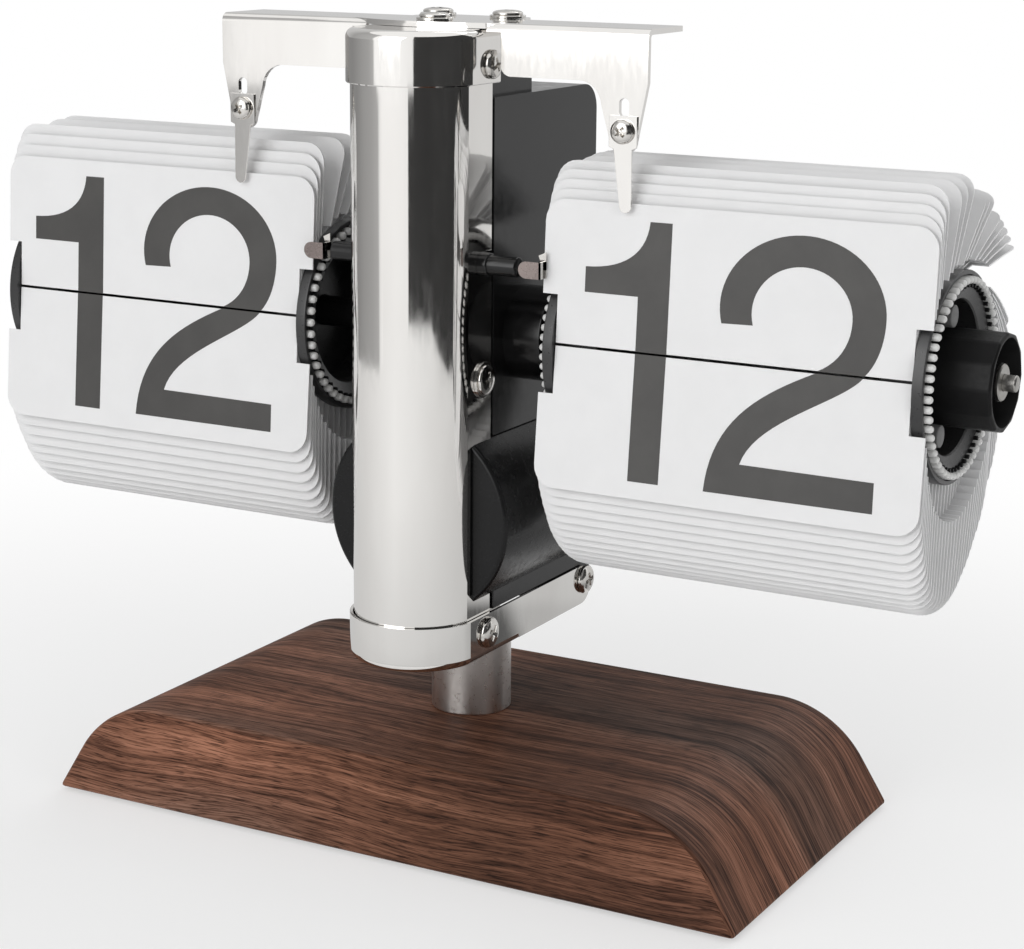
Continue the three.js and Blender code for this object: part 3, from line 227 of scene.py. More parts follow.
def walnut():
    """Walnut whose grain runs along X, over the ends and down them."""
    material, tree, shader = blank("walnut")
    place = add_node(tree, "TexCoord").outputs
    parts = add_node(tree, "SeparateXYZ", Vector=place["Object"]).outputs
    facing = add_node(tree, "SeparateXYZ", Vector=place["Normal"]).outputs["Y"]
    side = maths(tree, "GREATER_THAN", maths(tree, "ABSOLUTE", facing), 0.75)
    across = maths(tree, "ADD", parts["Y"], maths(tree, "MULTIPLY", side, parts["Z"]))

    def figure(over, along, width, detail, rough):
        flat = add_node(tree, "CombineXYZ", X=parts["X"], Y=over).outputs["Vector"]
        stretched = add_node(tree, "Mapping", Vector=flat, Scale=(along, width, 1)).outputs["Vector"]
        return noise(tree, stretched, 1, detail, rough)

    drift = figure(across, 11, 30, 2, 0.55)
    wander = maths(tree, "MULTIPLY", maths(tree, "SUBTRACT", drift, 0.5), 0.011)
    moved = maths(tree, "ADD", across, wander)
    patches, bands, streaks, fibres, pores = [figure(moved, *row) for row in (
        (7, 26, 1, 0.5), (4, 150, 3, 0.55), (30, 1000, 4, 0.65), (120, 2600, 3, 0.6), (210, 3400, 2, 0.5))]
    tone = maths(tree, "ADD", maths(tree, "MULTIPLY", bands, 0.5), maths(tree, "MULTIPLY", streaks, 0.5))
    reach = high("wood_base").x * MM
    along = add_node(tree, "MapRange", Value=parts["X"], From_Min=-reach, From_Max=reach).outputs["Result"]
    colour = ramp(tree, tone, [
        (0.38, (0.078, 0.034, 0.020)), (0.455, (0.200, 0.089, 0.055)),
        (0.52, (0.354, 0.162, 0.101)), (0.59, (0.486, 0.232, 0.149)), (0.66, (0.65, 0.33, 0.223)),
    ])
    for value, factor, stops in (
            (patches, 0.85, [(0.40, (0.56, 0.66, 0.74)), (0.50, (0.9, 0.9, 0.9)), (0.62, (1, 0.96, 0.92))]),
            (fibres, 0.95, [(0.38, (0.42, 0.38, 0.36)), (0.52, (0.97, 0.97, 0.97)), (0.70, (1, 1, 1))]),
            (pores, 0.9, [(0.36, (0.24, 0.22, 0.21)), (0.44, (1, 1, 1))]),
            (along, 1.0, [(0.0, (0.62, 0.62, 0.62)), (0.28, (0.92, 0.92, 0.92)), (0.52, (0.53, 0.53, 0.52)),
                          (0.66, (0.37, 0.37, 0.365)), (0.82, (0.43, 0.42, 0.41)),
                          (1.0, (0.66, 0.65, 0.64))])):
        mix = add_node(tree, "Mix", {"data_type": "RGBA", "blend_type": "MULTIPLY"}, Factor=factor, A=colour,
                       B=ramp(tree, value, stops))
        colour = mix.outputs["Result"]
    feed(tree, shader, Base_Color=colour, Roughness=between(tree, streaks, 0.62, 0.48),
         Specular_IOR_Level=0.1)
    bump(tree, shader, fibres, 0.3, 0.08)
    return material


# Name, dark and light colour, roughness, noise size, relief, its depth, metal, gloss and grain
steel = surface("polished_steel", (0.81, 0.79, 0.765), (0.86, 0.845, 0.82), (0.045, 0.09), 900, 0.012, 0.01,
                1, grain=(1, 1, 0.25))
brushed = surface("turned_steel", (0.55, 0.53, 0.51), (0.66, 0.64, 0.61), (0.16, 0.30), 1200, 0.06, 0.01, 1,
                  grain=(1, 1, 6))
post_steel = surface("post_steel", (0.53, 0.505, 0.485), (0.65, 0.62, 0.60), (0.26, 0.36), 1100, 0, 0.01,
                     1)
post_tree = post_steel.node_tree
feed(post_tree, post_tree.nodes["Principled BSDF"], Anisotropic=0.8, Anisotropic_Rotation=0.25)
shaft_steel = surface("shaft_steel", (0.36, 0.35, 0.33), (0.46, 0.45, 0.43), (0.28, 0.4), 1300, 0.04, 0.01, 1)
screw_steel = surface("screw_steel", (0.62, 0.60, 0.57), (0.78, 0.76, 0.73), (0.10, 0.2), 1500, 0.05, 0.01, 1)
BLACK = (0.006, 0.006, 0.0063), (0.009, 0.009, 0.0093)
black_gloss = surface("black_gloss_plastic", *BLACK, (0.14, 0.24), 500, 0.01, gloss=0.4)
black_barrel = surface("black_barrel_plastic", *BLACK, (0.2, 0.3), 700, 0.01, gloss=0.22)
# The drum's plastic is black, but its colour here is lighter than the other black plastics: painted sheen
# standing for the light the drum ends reflect.
black_drum = surface("black_drum_plastic_with_painted_sheen", (0.022, 0.022, 0.0225), (0.032, 0.032, 0.0325), (0.26, 0.38), 1600,
                     0.02)
black_satin = surface("black_satin_plastic", (0.007, 0.007, 0.0073), (0.011, 0.011, 0.0113), (0.33, 0.48),
                      1600, 0.06, gloss=0.15)
lug_plastic = surface("grey_plastic", (0.10, 0.10, 0.10), (0.15, 0.15, 0.15), (0.4, 0.5), 1600, 0.1)
leaf_white = surface("leaf_white", (0.745, 0.745, 0.748), (0.762, 0.762, 0.765), (0.45, 0.58), 1800, 0.06,
                     0.01, gloss=0.3)
print_grey = surface("print_grey", (0.050, 0.048, 0.046), (0.060, 0.058, 0.055), (0.38, 0.5), 1500, 0.06,
                     0.01, gloss=0.4)
pin_white = surface("pin_white", (0.60, 0.60, 0.59), (0.68, 0.68, 0.67), (0.3, 0.42), 1500, 0.06, 0.01)
catch_tan = surface("catch_bronze", (0.20, 0.165, 0.155), (0.27, 0.225, 0.21), (0.22, 0.34), 1200, 0.05, 0.01,
                    0.6)
gear_white = surface("gear_plastic", (0.70, 0.68, 0.61), (0.76, 0.74, 0.68), (0.4, 0.5), 1200)
board_green = surface("board_green", (0.03, 0.13, 0.05), (0.04, 0.18, 0.07), (0.4, 0.5), 900)
cell_jacket = surface("cell_jacket", (0.06, 0.07, 0.09), (0.10, 0.11, 0.13), (0.3, 0.4), 900)
felt = surface("felt", (0.014, 0.012, 0.011), (0.024, 0.021, 0.019), (0.9, 1.0), 3500, 0.5, 0.1, gloss=0.2)
walnut_wood = walnut()


# Mesh building

def finish_mesh(obj, sharp_degrees=32):
    """Closes up the normals, shades smooth and keeps edges over an angle sharp."""
    mesh = obj.data
    work = bmesh.new()
    work.from_mesh(mesh)
    bmesh.ops.recalc_face_normals(work, faces=work.faces)
    work.to_mesh(mesh)
    work.free()
    mesh.polygons.foreach_set("use_smooth", [True] * len(mesh.polygons))
    mesh.set_sharp_from_angle(angle=math.radians(sharp_degrees))
    return obj


def new_object(name, data):
    """An object in the scene."""
    obj = bpy.data.objects.new(name, data)
    bpy.context.scene.collection.objects.link(obj)
    return obj


def solid(name, verts, faces, material):
    """An object of one mesh, given in millimetres, and one material."""
    mesh = bpy.data.meshes.new(name)
    mesh.from_pydata([[at * MM for at in vert] for vert in verts], [], faces)
    mesh.materials.append(material)
    return finish_mesh(new_object(name, mesh))


def skin_faces(loops, gaps):
    """Faces between loops of equal length, over some gaps; the gap after the last leads to the first."""
    count = len(loops[0])
    faces = []
    for k in range(gaps):
        for i in range(count):
            j, m = (i + 1) % count, (k + 1) % len(loops)
            faces.append([k * count + i, k * count + j, m * count + j, m * count + i])
    return faces


def loft(name, loops, material):
    """A closed skin over loops of equal length, capped at both ends."""
    count = len(loops[0])
    verts = [v for loop in loops for v in loop]
    caps = [list(range(count))[::-1], [len(verts) - count + i for i in range(count)]]
    return solid(name, verts, caps + skin_faces(loops, len(loops) - 1), material)


def oriented(axis, u, v, along):
    """A point from two coordinates square to an axis, in XYZ order, and one along it."""
    return {"X": (along, u, v), "Y": (u, along, v), "Z": (u, v, along)}[axis]


def prism(name, axis, outline, start, end, material):
    """An outline drawn out along an axis."""
    loops = [[oriented(axis, u, v, at) for u, v in outline] for at in sorted((start, end))]
    return loft(name, loops, material)


def block(name, lowest, highest, material):
    """A plain box, as a cutter or a part of a piece."""
    (x0, y0, z0), (x1, y1, z1) = lowest, highest
    return prism(name, "Z", [(x0, y0), (x1, y0), (x1, y1), (x0, y1)], z0, z1, material)


def lathe(name, axis, centre, profile, material, sides=96):
    """A closed profile of (along, radius) points turned about an axis through centre."""
    loops = []
    for i in range(sides):
        angle = FULL_TURN * i / sides
        loops.append([oriented(axis, centre[0] + r * math.cos(angle), centre[1] + r * math.sin(angle), a)
                      for a, r in profile])
    obj = solid(name, [v for loop in loops for v in loop], skin_faces(loops, sides), material)
    work = bmesh.new()
    work.from_mesh(obj.data)
    bmesh.ops.remove_doubles(work, verts=work.verts, dist=WELD)
    bmesh.ops.dissolve_degenerate(work, edges=work.edges, dist=WELD)
    work.to_mesh(obj.data)
    work.free()
    return finish_mesh(obj)


def tube(name, axis, centre, radius, start, end, material, sides=48, edge=0.0):
    """A cylinder with an optional rounded edge at both ends."""
    start, end = sorted((start, end))
    steps = 4 if edge else 0
    profile = [(start, 0.0), *arc((start + edge, radius - edge), edge, 180, 90, steps),
               *arc((end - edge, radius - edge), edge, 90, 0, steps), (end, 0.0)]
    return lathe(name, axis, centre, profile, material, sides)


def bake(obj):
    """Applies an object's modifiers."""
    graph = bpy.context.evaluated_depsgraph_get()
    baked = bpy.data.meshes.new_from_object(obj.evaluated_get(graph))
    obj.modifiers.clear()
    obj.data = baked
    return finish_mesh(obj)


def combine(body, tools, operation):
    """One boolean with each tool; the tools are used up."""
    for tool in tools:
        modifier = body.modifiers.new("combine", "BOOLEAN")
        modifier.operation = operation
        modifier.solver = "EXACT"
        modifier.object = tool
    bake(body)
    for tool in tools:
        bpy.data.objects.remove(tool)
    return body


def cut(body, *tools):
    """Cuts tools out of a body."""
    return combine(body, tools, "DIFFERENCE")


def fuse(body, *tools):
    """Joins tools to a body as one skin."""
    return combine(body, tools, "UNION")


def overlap(body, *tools):
    """Keeps what a body shares with each tool."""
    return combine(body, tools, "INTERSECT")


def ease(obj, width, segments=2, angle=50):
    """Rounds an object's edges over an angle."""
    modifier = obj.modifiers.new("ease", "BEVEL")
    modifier.width = width * MM
    modifier.segments = segments
    modifier.limit_method = "ANGLE"
    modifier.angle_limit = math.radians(angle)
    modifier.use_clamp_overlap = True
    return bake(obj)


def gather(name, parts):
    """Joins separate closed parts into one object, materials kept."""
    mesh = bpy.data.meshes.new(name)
    work = bmesh.new()
    slots = []
    for part in parts:
        before = len(work.faces)
        work.from_mesh(part.data)
        work.faces.ensure_lookup_table()
        kept = list(part.data.materials)
        slots += [m for m in kept if m not in slots]
        for face in work.faces[before:]:
            face.material_index = slots.index(kept[face.material_index])
        bpy.data.objects.remove(part)
    work.to_mesh(mesh)
    work.free()
    for m in slots:
        mesh.materials.append(m)
    return finish_mesh(new_object(name, mesh))


def carry(obj, body, slot, *nodes):
    """Hands a piece to its body and the nodes it stands for; its material slot is not used."""
    even = obj.modifiers.new("even_normals", "WEIGHTED_NORMAL")
    even.keep_sharp = True
    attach(obj, body)
    if nodes:
        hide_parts(*nodes)
    return obj


def arc(centre, radius, start, end, steps, squash=1.0):
    """Points on a circle or ellipse between two angles in degrees, or only the first for no steps."""
    angles = [math.radians(start + (end - start) * k / max(1, steps)) for k in range(steps + 1)]
    return [(centre[0] + radius * math.cos(a), centre[1] + radius * squash * math.sin(a)) for a in angles]


def shallow_arc(half, bulge, rear, steps):
    """An arc across the middle that bulges forward from corners at a depth."""
    radius = (half ** 2 + bulge ** 2) / (2 * bulge)
    reach = math.degrees(math.asin(half / radius))
    return arc((0, rear - bulge + radius), radius, 270 - reach, 270 + reach, steps)


def bezier(p0, p1, p2, p3, steps=14):
    """Points on a cubic curve."""
    points = []
    for k in range(steps + 1):
        t = k / steps
        weights = ((1 - t) ** 3, 3 * t * (1 - t) ** 2, 3 * t * t * (1 - t), t ** 3)
        points.append(tuple(sum(w * p[i] for w, p in zip(weights, (p0, p1, p2, p3))) for i in (0, 1)))
    return points


# Wooden base, pad and post

def make_base():
    """The block, with leaning rounded faces, and its pad and post."""
    reach, depth = high("wood_base").xy
    bottom = low("wood_base").z
    lean_run, side_run, end_round = 11.5, 1.85, 21
    height = BASE_TOP - bottom
    lean = math.atan2(lean_run, height)
    tangent = end_round * math.tan((RIGHT_ANGLE - lean) / 2)
    centre_x = reach - lean_run - tangent
    right = arc((centre_x, BASE_TOP - end_round), end_round, math.degrees(lean), 90, 20)
    outline = [(-reach, bottom), (reach, bottom)] + right + [(-x, z) for x, z in reversed(right)]
    ends = prism("wood_base_block", "Y", outline, -depth, depth, walnut_wood)
    top = depth - side_run
    sides = prism("wood_sides", "X", [(-depth, bottom), (depth, bottom), (top, BASE_TOP), (-top, BASE_TOP)],
                  -2 * reach, 2 * reach, walnut_wood)
    base = overlap(ends, sides)
    ease(base, 1.1, 4, 38)
    carry(base, "stand", "wood", "wood_base")
    radius = high("post").x
    post = tube("post_tube", "Z", (0, 0), radius, BASE_TOP, SHOE_BOTTOM, post_steel, 96, 0.35)
    carry(post, "stand", "plain_steel", "post")


# Column: shell, shoe and cap

def column_outline(growth, rear):
    """The column's plan, grown outwards: straight sides and a round front, with crisp corners."""
    half = COLUMN_HALF + growth
    return [*shallow_arc(half, COLUMN_BULGE + growth, COLUMN_CORNER_Y, COLUMN_STEPS), (half, rear),
            (-half, rear)]


def column_solid(name, layers, rear):
    """A loft of column outlines over (height, growth) layers."""
    loops = [[(x, y, z) for x, y in column_outline(growth, rear)] for z, growth in layers]
    return loft(name, loops, steel)


def rounded_layers(flat, rim, growth):
    """Layers of a band, upwards, from a flat end to a rim whose edge is rounded."""
    way = 1 if rim > flat else -1
    edge = arc((rim - way * BAND_ROUND, growth - BAND_ROUND), BAND_ROUND, 90, 90 - way * 90, 14)
    return [(flat, growth), *edge][::way]


def make_shell():
    """The tall front shell with its barrel gate and rod notches."""
    bottom, top = SHOE_BOTTOM + SHEET + 0.3, high("front_shell").z
    rear = high("front_shell").y
    outer = column_solid("front_shell_sheet", [(bottom, 0), (top, 0)], rear)
    inner = column_solid("shell_room", [(bottom - 1, -SHEET), (top + 1, -SHEET)], rear + 2)
    gate = block("gate", (-COLUMN_HALF * 2, -21.7, 50.2), (COLUMN_HALF * 2, 0, 78.7), steel)
    rod = middle("catch_rod_left")
    room = 2.1
    notch = block("notch", (-COLUMN_HALF * 2, rod.y, rod.z - room), (COLUMN_HALF * 2, 0, rod.z + room), steel)
    hole = tube("hole", "X", (rod.y, rod.z), room, -COLUMN_HALF * 2, COLUMN_HALF * 2, steel)
    shell = cut(outer, inner, gate, notch, hole)
    finish_mesh(ease(shell, 0.12), CRISP_CORNER)
    carry(shell, "stand", "steel", "front_shell")


def make_shoe():
    """The band under the column, its two straps and its plate."""
    band_rear, strap_rear = -2.8, high("lower_bracket").y
    outer = column_solid("lower_bracket_sheet", rounded_layers(SHOE_TOP, SHOE_BOTTOM, BAND_GROWTH), band_rear)
    room = BAND_GROWTH - SHEET
    inner = column_solid("shoe_room", [(SHOE_BOTTOM + SHEET, room), (SHOE_TOP + 1, room)], band_rear + 2)
    shoe = cut(outer, inner)
    strap_bottom = SHOE_BOTTOM + 0.7
    strap_round = (SHOE_TOP - strap_bottom) / 2
    strap_z = (SHOE_TOP + strap_bottom) / 2
    start = -4
    profile = [(start, strap_bottom), *arc((strap_rear - strap_round, strap_z), strap_round, -90, 90, 20),
               (start, SHOE_TOP)]
    straps = [prism("strap", "X", profile, side * SHOE_HALF, side * (SHOE_HALF - SHEET), steel)
              for side in (-1, 1)]
    plate = block("plate", (-9, -10, SHOE_BOTTOM), (9, 9, SHOE_BOTTOM + SHEET), steel)
    shoe = fuse(shoe, *straps, plate)
    finish_mesh(ease(shoe, 0.12), CRISP_CORNER)
    carry(shoe, "stand", "steel", "lower_bracket")


def make_cap():
    """The band over the column, closed on top."""
    rear = high("upper_bracket").y
    lower_round = 0.5
    layers = [(CAP_BOTTOM, BAND_GROWTH - lower_round * 0.35), (CAP_BOTTOM + lower_round * 0.4, BAND_GROWTH)]
    layers += rounded_layers(CAP_BOTTOM + lower_round, CAP_TOP, BAND_GROWTH)[1:]
    outer = column_solid("upper_bracket_sheet", layers, rear)
    room = BAND_GROWTH - SHEET
    inner = column_solid("cap_room", [(CAP_BOTTOM - 1, room), (CAP_TOP - SHEET, room)], rear + 2)
    cap = cut(outer, inner)
    finish_mesh(ease(cap, 0.1, angle=55), CRISP_CORNER)
    carry(cap, "stand", "steel", "upper_bracket")


# Arm bracket and fingers

def make_arms():
    """The flange over the cap, and a bent web and leg over each drum."""
    web_y = -17.8
    bottom = CAP_TOP + 0.05
    top = high("arm_bracket").z
    reach, rear = high("arm_bracket").x, -4
    web_bottom, inner_x, leg_bottom = 146.8, 15.7, low("arm_bracket").z
    sheet = top - bottom
    outer_bend = 1.6
    bend = (web_y + outer_bend, top - outer_bend)
    profile = [(web_y, leg_bottom - 1), *arc(bend, outer_bend, 180, 90, 8), (rear, top), (rear, bottom),
               *arc(bend, outer_bend - sheet, 90, 180, 8), (web_y + sheet, leg_bottom - 1)]
    tab_x, tab_z = 12.75, top - 1.5
    leg = [(tab_x, top + 1), (tab_x, tab_z), (inner_x, tab_z),
           *arc((inner_x + 2, web_bottom + 2), 2, 180, 270, 8),
           *arc((31.5, web_bottom - 4.5), 4.5, 90, 5, 8),
           *arc((39.8, leg_bottom + 2), 2, 185, 270, 8),
           *arc((40.9, leg_bottom + 2), 2, 270, 360, 8),
           (reach, web_bottom), (reach, top + 1)]
    pieces = []
    for side in (1, -1):
        bent = prism("arm", "X", profile, side * tab_x * 0.9, side * reach, steel)
        front = prism("leg", "Y", [(side * x, z) for x, z in leg], web_y - 1, 3, steel)
        slot_x, slot_z, rise = side * 40.5, 142.4, 0.7
        hole = arc((slot_x, slot_z + rise), 1, 0, 180, 10) + arc((slot_x, slot_z - rise), 1, 180, 360, 10)
        slot = prism("slot", "Y", hole, web_y - 2, web_y + 3, steel)
        pieces.append(cut(overlap(bent, front), slot))
    half = 12.6
    plate = [(-inner_x - 1, web_y + outer_bend), (-half, web_y + 0.2), *shallow_arc(half, 2.6, web_y, 24),
             (half, web_y + 0.2), (inner_x + 1, web_y + outer_bend), (inner_x + 1, rear)]
    tongue = 11.15
    plate += [(tongue, rear), *arc((tongue - 2, 1.15), 2, 0, 90, 6),
              *arc((2 - tongue, 1.15), 2, 90, 180, 6), (-tongue, rear), (-inner_x - 1, rear)]
    bracket = fuse(prism("arm_bracket_sheet", "Z", plate, bottom, top, steel), *pieces)
    carry(ease(bracket, 0.12), "stand", "steel", "arm_bracket")


def make_fingers():
    """A spring blade under each leg, with a square tab and a tapering tip."""
    for word in ("minute", "hour"):
        node = f"{word}_finger"
        lowest, highest = low(node), high(node)
        x = (lowest.x + highest.x) / 2
        tab = (highest.x - lowest.x) / 2
        tip = 1.2
        drift = 0.7 * (1 if x > 0 else -1)
        shoulder = highest.z - 2 * tab
        outline = [(x - tab, highest.z), (x - tab, shoulder), (x - 1.8, shoulder - 0.4),
                   *arc((x + drift, lowest.z + tip), tip, 180, 360, 12),
                   (x + 1.8, shoulder - 0.4), (x + tab, shoulder), (x + tab, highest.z)]
        finger = prism(f"{node}_blade", "Y", outline, lowest.y, highest.y, steel)
        carry(ease(finger, 0.06, 1), "stand", "steel", node)


# Screws

def cross_cutter(radius, top, depth):
    """A tapering cross that reaches down into a head's top."""
    arm, width = radius * 0.56, radius * 0.15
    quarter = [(arm, -width), (arm, width), (width, width)]
    plus = []
    for _ in range(4):
        plus += quarter
        quarter = [(-v, u) for u, v in quarter]
    plus = plus[1:] + plus[:1]
    loops = [[(u * share, v * share, z) for u, v in plus]
             for z, share in ((top - depth, 0.45), (top + depth, 1.5))]
    return loft("cross", loops, screw_steel)


def screw_mesh(radius, washer):
    """A pan head with a cross recess, over a washer, standing on its seat."""
    parts = []
    seat = 0.0
    if washer:
        seat = 0.45
        ring = [(0, 1.3), (0, radius), (seat * 0.75, radius), (seat, radius * 0.97), (seat, 1.3)]
        parts.append(lathe("washer", "Z", (0, 0), ring, screw_steel, 40))
        radius = radius * 0.84
    shoulder = seat + 0.25 * SCREW_HEIGHT
    dome = [(seat, 0.0), (seat, radius * 0.94), (seat + 0.12 * SCREW_HEIGHT, radius)]
    dome += [(shoulder + (SCREW_HEIGHT - shoulder) * math.sin(turn), radius * math.cos(turn) ** 0.7)
             for turn in [RIGHT_ANGLE * k / 8 for k in range(8)]]
    head = lathe("head", "Z", (0, 0), dome + [(SCREW_HEIGHT, 0.0)], screw_steel, 40)
    parts.append(cut(head, cross_cutter(radius, SCREW_HEIGHT, 0.75)))
    parts.append(tube("shank", "Z", (0, 0), 1.1, -1.5, seat + 0.1, screw_steel, 20))
    return gather("screw", parts)


def make_screws():
    """Every screw, each turned a little differently."""
    for index, name in enumerate(sorted(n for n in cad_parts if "_screw" in n)):
        lowest, highest = low(name), high(name)
        seat = (lowest + highest) / 2
        if name.startswith("arm"):
            axis, way, turn = 2, 1, Matrix.Identity(4)
        elif "finger" in name:
            axis, way, turn = 1, -1, Matrix.Rotation(RIGHT_ANGLE, 4, "X")
        else:
            axis, way = 0, 1 if seat.x > 0 else -1
            turn = Matrix.Rotation(way * RIGHT_ANGLE, 4, "Y")
        seat[axis] = (highest if way > 0 else lowest)[axis] - way * SCREW_HEIGHT
        width = highest.x - lowest.x if axis == 2 else highest.z - lowest.z
        screw = screw_mesh(width / 2, name.startswith(("arm", "shell")))
        screw.name = f"{name}_head"
        spin = Matrix.Rotation(0.7 + 1.9 * index, 4, "Z")
        screw.data.transform(Matrix.Translation(seat * MM) @ turn @ spin)
        carry(screw, "stand", "steel", name)


# Movement case and battery barrel

def slab(lowest, highest):
    """A black block with rounded edges."""
    return ease(block("slab", lowest, highest, black_gloss), 0.3)


def make_case():
    """The case over the barrel, its bosses, and the blocks in front of it."""
    rear = high("case_body").y
    seam, top = low("case_lid").z, high("case_lid").z
    half = COLUMN_HALF
    corner = 5
    plan = [(CASE_FRONT, seam), (rear, seam), *arc((rear - corner, top - corner), corner, 0, 90, 12),
            (CASE_FRONT, top)]
    case = prism("case_shell", "X", plan, -half, half, black_gloss)
    room = tube("room", "Y", (0, BARREL_Z), BARREL_RADIUS + 0.3, CASE_FRONT - 1, rear + 1, black_gloss, 96)
    parts = [ease(cut(case, room), 0.35, 3),
             slab((-BLOCK_HALF, CASE_FRONT - 0.1, top - 1), (BLOCK_HALF, 4, CAP_TOP - 0.1))]
    for z0, z1 in ((86.4, 95.4), (108.6, 116.6)):
        parts.append(slab((-BLOCK_HALF, BLOCK_FRONT, z0), (BLOCK_HALF, CASE_FRONT + 1, z1)))
    for side in (-1, 1):
        for radius, reach in ((9, 20), (5, 23.4)):
            parts.append(tube("boss", "X", AXIS, radius, side * (half - 0.5), side * reach, black_gloss, 64,
                              0.4))
    carry(gather("case_and_lid", parts), "stand", "black_plastic", "case_body", "case_lid")


def make_barrel():
    """The barrel, with its lip, ledges and rounded front, and its cover."""
    front, rear = low("battery_housing").y, high("battery_housing").y
    half, centre = COLUMN_HALF, (0, BARREL_Z)
    body_rear, bottom = 27.6, SHOE_TOP + 0.15
    parts = [
        tube("battery_barrel", "Y", centre, BARREL_RADIUS, front, rear, black_barrel, 128, 0.9),
        slab((-half, CASE_FRONT, bottom), (half, body_rear, 79.2)),
        slab((-half, 18, HOUSING_BOTTOM), (half, body_rear, bottom + 1)),
        block("front_foot", (-BLOCK_HALF, BLOCK_FRONT, HOUSING_BOTTOM), (BLOCK_HALF, CASE_FRONT + 1, 49),
              black_gloss),
        slab((-half - 0.35, CASE_FRONT, bottom), (half + 0.35, body_rear - 0.4, 49.6))]
    carry(gather("battery_housing_shell", parts), "stand", "black_plastic", "battery_housing")
    face = high("battery_cover").y
    cover = tube("battery_cover_cap", "Y", centre, BARREL_RADIUS - 0.02, rear + 0.06, face, black_satin, 128,
                 0.8)
    reach = BARREL_RADIUS * 0.75
    grip = block("grip", (-reach, face - 0.9, BARREL_Z - 1), (reach, face + 1, BARREL_Z + 1), black_satin)
    dish = lathe("dish", "Y", centre, [(face - 0.6, 0), (face - 0.6, 14), (face + 1, 15.2), (face + 1, 0)],
                 black_satin)
    carry(ease(cut(cover, dish, grip), 0.15), "battery_cover", "black_plastic", "battery_cover")


# Catch rods and catches

def make_catches():
    """Black rods with a collar at the column, and a bent catch on each."""
    for side, word in ((-1, "left"), (1, "right")):
        node = f"catch_rod_{word}"
        centre = middle(node)
        radius = (high(node).z - low(node).z) / 2
        rod = tube(f"{node}_bar", "X", centre.yz, radius, side * 7, side * 19.9, black_gloss, 40, 0.3)
        collar = tube("collar", "X", centre.yz, radius * 1.18, side * (COLUMN_HALF - 0.2),
                      side * (COLUMN_HALF + 2), black_gloss, 40, 0.3)
        carry(gather(f"{node}_bar", [rod, collar]), "stand", "black_plastic", node)
    for word in ("minute", "hour"):
        node = f"{word}_catch"
        lowest, highest = low(node), high(node)
        half = 1.55
        z = lowest.z + half
        sheet = 0.3
        start = lowest.x + 1.6
        tab_end = start + 4.5
        outline = [*arc((start + half, z), half, 90, 270, 12), (tab_end, z - half), (tab_end, z + half)]
        tab = prism("tab", "Y", outline, lowest.y, lowest.y + sheet, catch_tan)
        bend, foot = [block("bend", (tab_end - sheet, y, z - half), (end, highest.y, z + half), screw_steel)
                      for y, end in ((lowest.y, tab_end), (highest.y - sheet, highest.x))]
        prong = prism("prong", "Y", [(tab_end - 0.3, z), (highest.x, z), (highest.x, highest.z),
                                     (tab_end - 1.2, highest.z - 0.7)],
                      highest.y - sheet, highest.y, screw_steel)
        carry(gather(f"{node}_spring", [tab, bend, foot, prong]), "stand", "catch_metal", node)


# Drums

def pin_place(bearing, radius=PIN_CIRCLE):
    """Where a bearing above the front puts a point on a circle round the shaft."""
    turn = math.radians(bearing)
    return AXIS_Y - radius * math.cos(turn), AXIS_Z + radius * math.sin(turn)


def pin_bearings(count):
    """The bearings of every leaf's pins, first the front upper leaf's."""
    pitch = 360 / count
    return [SPLIT_BEARING + pitch / 2 + k * pitch for k in range(count)]


def make_flange(node, count, way, body, bead, reach):
    """A drum end: rim, cup, hub, lugs, pin ends of a radius and reach, and the teeth beside them."""
    face = high(node).x if way > 0 else low(node).x
    rim = high("minute_flange_outer").z - AXIS_Z
    thickness, depth, window = 2, 8, 13.7
    bore = 1.6 if body == "minute_drum" else 3.1
    ring_low, ring_high = PIN_CIRCLE - 1.05, PIN_CIRCLE + 0.95

    def pegs(bearings, circle, radius, inner, outer, *finish):
        """Round pegs through the face at bearings on a circle, between two depths."""
        return [tube("peg", "X", pin_place(bearing, circle), radius, face - way * inner, face - way * outer,
                     *finish) for bearing in bearings]

    profile = [(face - way * inward, radius) for inward, radius in (
        (thickness, rim), (0.25, rim), (0.05, rim - 0.1), (0, rim - 0.3), (0, ring_high),
        (0.7, ring_high - 0.05), (0.7, ring_low), (0, ring_low - 0.05), (0.35, ring_low - 0.8),
        (0.9, window + 0.2), (1.2, window), (depth, window), (depth, bore), (depth + 1.2, bore),
        (depth + 1.2, window + 1.2), (thickness, window + 1.2))]
    wheel = lathe(node + "_wheel", "X", AXIS, profile, black_drum, 120)
    lugs = pegs(LUG_BEARINGS if "outer" in node else (), LUG_CIRCLE, 2, 0.1, 3.5, lug_plastic, 32, 0.2)
    teeth = pegs(pin_bearings(count), ring_low + 0.1, 0.4, 0.6, -0.7, black_satin, 8, 0.1)
    carry(gather(node + "_wheel", [wheel, *lugs, *teeth]), body, "black_drum", node)
    beads = pegs(pin_bearings(count), PIN_CIRCLE, bead, 1, -reach, pin_white, 16, bead * 0.9)
    carry(gather(node + "_pins", beads), body, "leaf_card")


